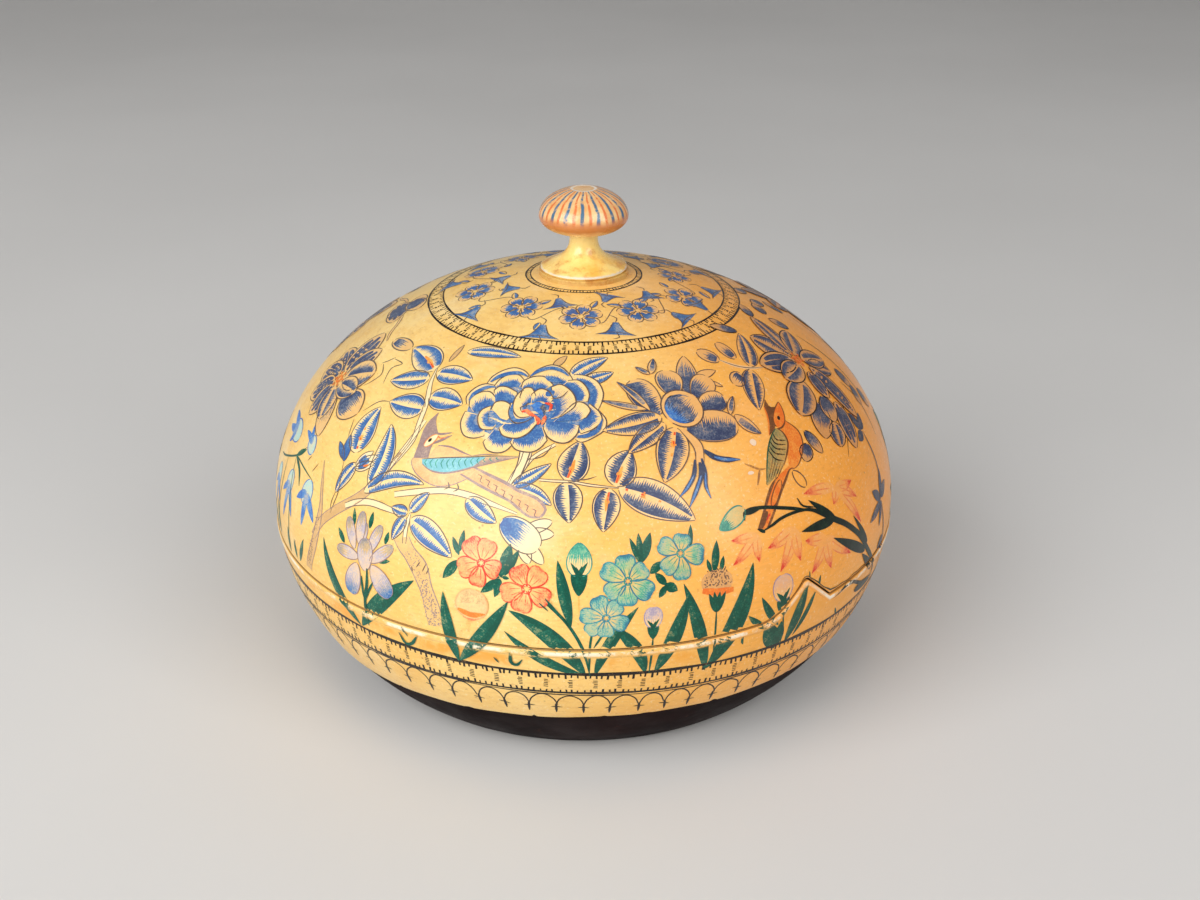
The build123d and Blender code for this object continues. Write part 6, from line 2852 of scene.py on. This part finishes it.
@dataclass
class Decoration:
    """Lays the motifs out round the box, stretch by stretch."""

    painter: Painter
    worn_from: float = 36.8
    worn_to: float = 66.0
    worn_width: float = 0.75

    def brush(self, azimuth: float, polar: float, layer: int = 0, turn: float = 0.0) -> BirdBrush:
        """Give a brush at a place on the box, in degrees."""
        card = Card(self.painter.surface.form, azimuth, polar, turn)
        return BirdBrush(self.painter, card, layer)

    def worn_edge(self) -> None:
        """Darken the lid's edge where it has worn, from the tooth's tip to the right."""
        cut = self.painter.surface.cut
        share = np.linspace(0, 1, 120)
        turn = np.radians(np.linspace(self.worn_from, self.worn_to, len(share)))
        wide = self.worn_width * np.clip(share / 0.1, 0.3, 1)
        wide = wide * (1 - 0.75 * smooth_step(share, 0.35, 1))
        wide = wide * (1 + 0.25 * np.sin(41 * turn) + 0.2 * np.sin(97 * turn))
        edge = cut.polar(turn, Half.LID)
        azimuth = np.stack([turn, turn], axis=1)
        polar = np.stack([edge - wide / self.painter.surface.arc, edge + 0.004], axis=1)
        wash = np.stack([0.9 - 0.4 * share] * 2, axis=1)
        self.painter.lay(Pigment.MYRTLE, Stroke(azimuth, polar, wash, 12))

    def crown(self) -> None:
        """Paint the wreath round the finial."""
        blooms = (
            (-1.6, 25, 4.9, 20, 6), (30.8, 24.6, 4.9, 50, 6), (65.9, 26, 4.7, 10, 5),
            (96.9, 22.5, 4.2, 40, 5), (128, 26.4, 4.8, 15, 6), (160, 24.2, 4.7, 70, 6),
            (192, 26, 4.8, 28, 6), (222, 23.6, 4.5, 52, 5), (250, 26.8, 4.7, 8, 6),
            (282.5, 26.9, 4.8, 64, 6), (322.6, 24, 4.8, 32, 6),
        )
        for azimuth, polar, radius, turn, petals in blooms:
            brush = self.brush(azimuth, polar, 1)
            brush.pale = Pigment.BUFF
            brush.small_bloom(radius, turn, petals)
        for azimuth, polar, turn, size in (
            (-19.5, 18.2, 30, 3.6), (-18.7, 29.4, 6, 4.2), (14.8, 28.2, -12, 4),
            (15.1, 19, 150, 3.4), (51.6, 18.6, -30, 3.4), (63.5, 32.2, 170, 3.4), (46, 29, 20, 3.8),
            (87, 29, -16, 3.8), (-58, 29.4, 14, 4), (-90.1, 18.4, 30, 3.4), (-96, 30.6, -18, 4),
            (-60, 18.2, -40, 3.4), (113, 29.4, 12, 3.8), (112, 18.6, 60, 3.4), (144, 30, -14, 4),
            (146, 18.8, -50, 3.4), (176, 29.4, 10, 4), (178, 18.6, 40, 3.4), (207, 29.6, -18, 4),
            (209, 18.8, -30, 3.4), (236, 29.2, 16, 3.8),
        ):
            self.brush(azimuth, polar, 4, turn).trumpet(size)
        chance = np.random.default_rng(31)
        for first, second in zip(blooms, (*blooms[1:], blooms[0])):
            gap = (second[0] - first[0]) % 360.0
            brush = self.brush(first[0] + gap / 2, 24.6)
            reach = float(chance.uniform(5.6, 6.8))
            brush.line(
                Pigment.UMBER, [(-reach, 2.2), (-2.8, -3), (2.2, 2.8), (reach, -1.6)], 0.24, 0.9, 0
            )
            for x, y, lean in ((-3.6, 3.4, 60), (3.4, 3, -70), (-0.6, -3.8, 200)):
                turn = math.radians(lean + float(chance.uniform(-25, 25)))
                long = float(chance.uniform(2.6, 3.8))
                tip = (x + long * math.sin(turn), y + long * math.cos(turn))
                brush.leaflet((x, y), tip, 1.5)

    def paint(self) -> None:
        """Paint every border and stretch."""
        Borders(self.painter).paint()
        self.worn_edge()
        self.crown()
        Stretch(self.painter).paint()
        Stretch(self.painter, 180, True).paint()
        Stretch(self.painter, 88).turquoise()
        Stretch(self.painter, -91).iris_stand()


@dataclass(frozen=True)
class PaintFinish:
    """Paint over the ground, watery where it is thin, under the same varnish."""

    effects: Effects
    ground: VarnishedGround

    def material(self, pigment: Pigment) -> bpy.types.Material:
        """Make one paint's material.

        Args:
            pigment: the paint.

        Returns:
            The material.
        """
        mix = PAINT_MIXES[pigment]
        material, graph, shader = new_material(f"paint_{pigment.value}")
        tone = graph.add(
            "Group", {"Thin": srgb(*mix.thin), "Thick": srgb(*mix.thick), "Cover": mix.cover},
            node_tree=self.effects.paint_tone,
        )
        graph.link(tone.outputs[0], shader.inputs["Base Color"])
        self.ground.varnish(graph, shader)
        return material


# ---------------------------------------------------------------- studio


@dataclass(frozen=True)
class Lamp:
    """A soft square lamp: where it hangs, the length of its side, and its power in watts."""

    name: str
    place: tuple[float, float, float]
    size: float
    power: float


@dataclass(frozen=True)
class Studio:
    """Plain pale floor, soft lights and the camera."""

    camera_place: tuple[float, float, float] = (0.0, -333.4, 204.3)
    pitch: float = math.radians(25.18)
    yaw: float = math.radians(0.674)
    roll: float = math.radians(0.184)
    lens: float = 44.85
    floor_radius: float = 2600.0
    cove_radius: float = 800.0
    wall_height: float = 1900.0
    aim: tuple[float, float, float] = (0.0, 0.0, 40.0)
    lamps: tuple[Lamp, ...] = (
        Lamp("window", (-820.0, -860.0, 800.0), 1100.0, 18.7),
        Lamp("fill", (700.0, -860.0, 820.0), 900.0, 8.0),
    )
    sky_strength: float = 0.24

    def camera(self) -> None:
        """Stand the camera in front of the box, looking a little down."""
        level = math.cos(self.pitch)
        ahead = Vector(
            (math.sin(self.yaw) * level, math.cos(self.yaw) * level, -math.sin(self.pitch))
        )
        right = ahead.cross(Vector((0, 0, 1))).normalized()
        up = right.cross(ahead)
        turned_right = right * math.cos(self.roll) + up * math.sin(self.roll)
        turned_up = up * math.cos(self.roll) - right * math.sin(self.roll)
        data = bpy.data.cameras.new("camera")
        data.lens = self.lens
        data.sensor_width = 36.0
        data.sensor_fit = "HORIZONTAL"
        data.clip_start = 0.01
        camera = bpy.data.objects.new("camera", data)
        matrix = Matrix((turned_right, turned_up, -ahead)).transposed().to_4x4()
        matrix.translation = Vector(self.camera_place) * METRES
        camera.matrix_world = matrix
        bpy.context.scene.collection.objects.link(camera)
        bpy.context.scene.camera = camera

    def floor(self) -> None:
        """Lay a round pale floor that sweeps up into a wall."""
        reaches: list[tuple[float, float]] = [(r, 0.0) for r in (150, 400, 900, 1500)]
        for step in range(13):
            turn = math.pi / 2 * step / 12
            reaches.append(
                (
                    self.floor_radius - self.cove_radius + self.cove_radius * math.sin(turn),
                    self.cove_radius * (1 - math.cos(turn)),
                )
            )
        reaches.append((self.floor_radius, self.wall_height))
        columns = 96
        turns = np.linspace(0, 2 * np.pi, columns, endpoint=False)
        points = [np.zeros((1, 3))]
        for reach, height in reaches:
            points.append(
                np.stack(
                    [reach * np.cos(turns), reach * np.sin(turns), np.full(columns, height)], -1
                )
            )
        faces: list[tuple[int, ...]] = [(0, 1 + c, 1 + (c + 1) % columns) for c in range(columns)]
        for row in range(len(reaches) - 1):
            for c in range(columns):
                after = (c + 1) % columns
                a, b = 1 + row * columns, 1 + (row + 1) * columns
                faces.append((a + c, b + c, b + after, a + after))
        floor = make_mesh("floor", np.concatenate(points), faces)
        material, graph, shader = new_material("pale_floor")
        place = graph.place()
        colour = graph.clouded(
            srgb(226, 224, 221), srgb(220, 218, 215), (place, 3.0, 3.0), 0.3, 0.7
        )
        graph.link(colour, shader.inputs["Base Color"])
        shader.inputs["Roughness"].default_value = 0.65
        floor.data.materials.append(material)

    def hang(self, lamp: Lamp) -> None:
        """Hang one lamp, aimed at the box."""
        data = bpy.data.lights.new(lamp.name, "AREA")
        data.shape = "SQUARE"
        data.size = lamp.size * METRES
        data.energy = lamp.power
        hung = bpy.data.objects.new(lamp.name, data)
        hung.location = Vector(lamp.place) * METRES
        direction = (Vector(self.aim) - Vector(lamp.place)).normalized()
        hung.rotation_euler = direction.to_track_quat("-Z", "Y").to_euler()
        bpy.context.scene.collection.objects.link(hung)

    def lights(self) -> None:
        """Hang a large soft window light at the left, a weaker one at the right, and the sky."""
        for lamp in self.lamps:
            self.hang(lamp)
        world = bpy.data.worlds.new("sky")
        world.use_nodes = True
        graph = Graph(world.node_tree)
        world.node_tree.nodes.clear()
        sky = graph.add("Background", {0: srgb(236, 238, 242), 1: self.sky_strength})
        graph.add("OutputWorld", {0: sky.outputs[0]})
        bpy.context.scene.world = world

    def build(self) -> None:
        """Set up the camera, floor and lights."""
        self.camera()
        self.floor()
        self.lights()
        bpy.context.scene.view_settings.view_transform = "Standard"


def main() -> None:
    """Build the box's looks in order, and report each piece."""
    logging.basicConfig(level=logging.INFO, format="%(message)s")
    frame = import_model()
    nodes = frame["nodes"]
    effects = Effects()
    surface = CoatSurface(MouldedForm(), SawCut(MouldedForm()))
    coat = GroundCoat(surface)
    ground = VarnishedGround(effects)
    ground_material = ground.material()
    for skin, half, node in (
        (coat.lid(), Half.LID, "lid_ground"), (coat.base(), Half.BASE, "base_ground")
    ):
        skin.data.materials.append(ground_material)
        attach(skin, half.value)
        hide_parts(node)
        LOG.info("%s: %d faces", skin.name, len(skin.data.polygons))
    painter = Painter(surface)
    Decoration(painter).paint()
    paint = PaintFinish(effects, ground)
    for pigment in painter.strokes:
        material = paint.material(pigment)
        for half in Half:
            piece = painter.piece(pigment, half)
            if piece is None:
                continue
            piece.data.materials.append(material)
            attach(piece, half.value)
            LOG.info("%s: %d faces", piece.name, len(piece.data.polygons))
    lacquer = BlackLacquer(effects).material()
    for name, material in (
        ("base_bowl", lacquer), ("lid_dome", lacquer),
        ("locating_collar", LacqueredBoard().material()),
        ("finial", TurnedFinial(effects).material()),
    ):
        nodes[name].data.materials.clear()
        nodes[name].data.materials.append(material)
        LOG.info("%s: %s", name, material.name)
    Studio().build()


if __name__ == "__main__":
    main()
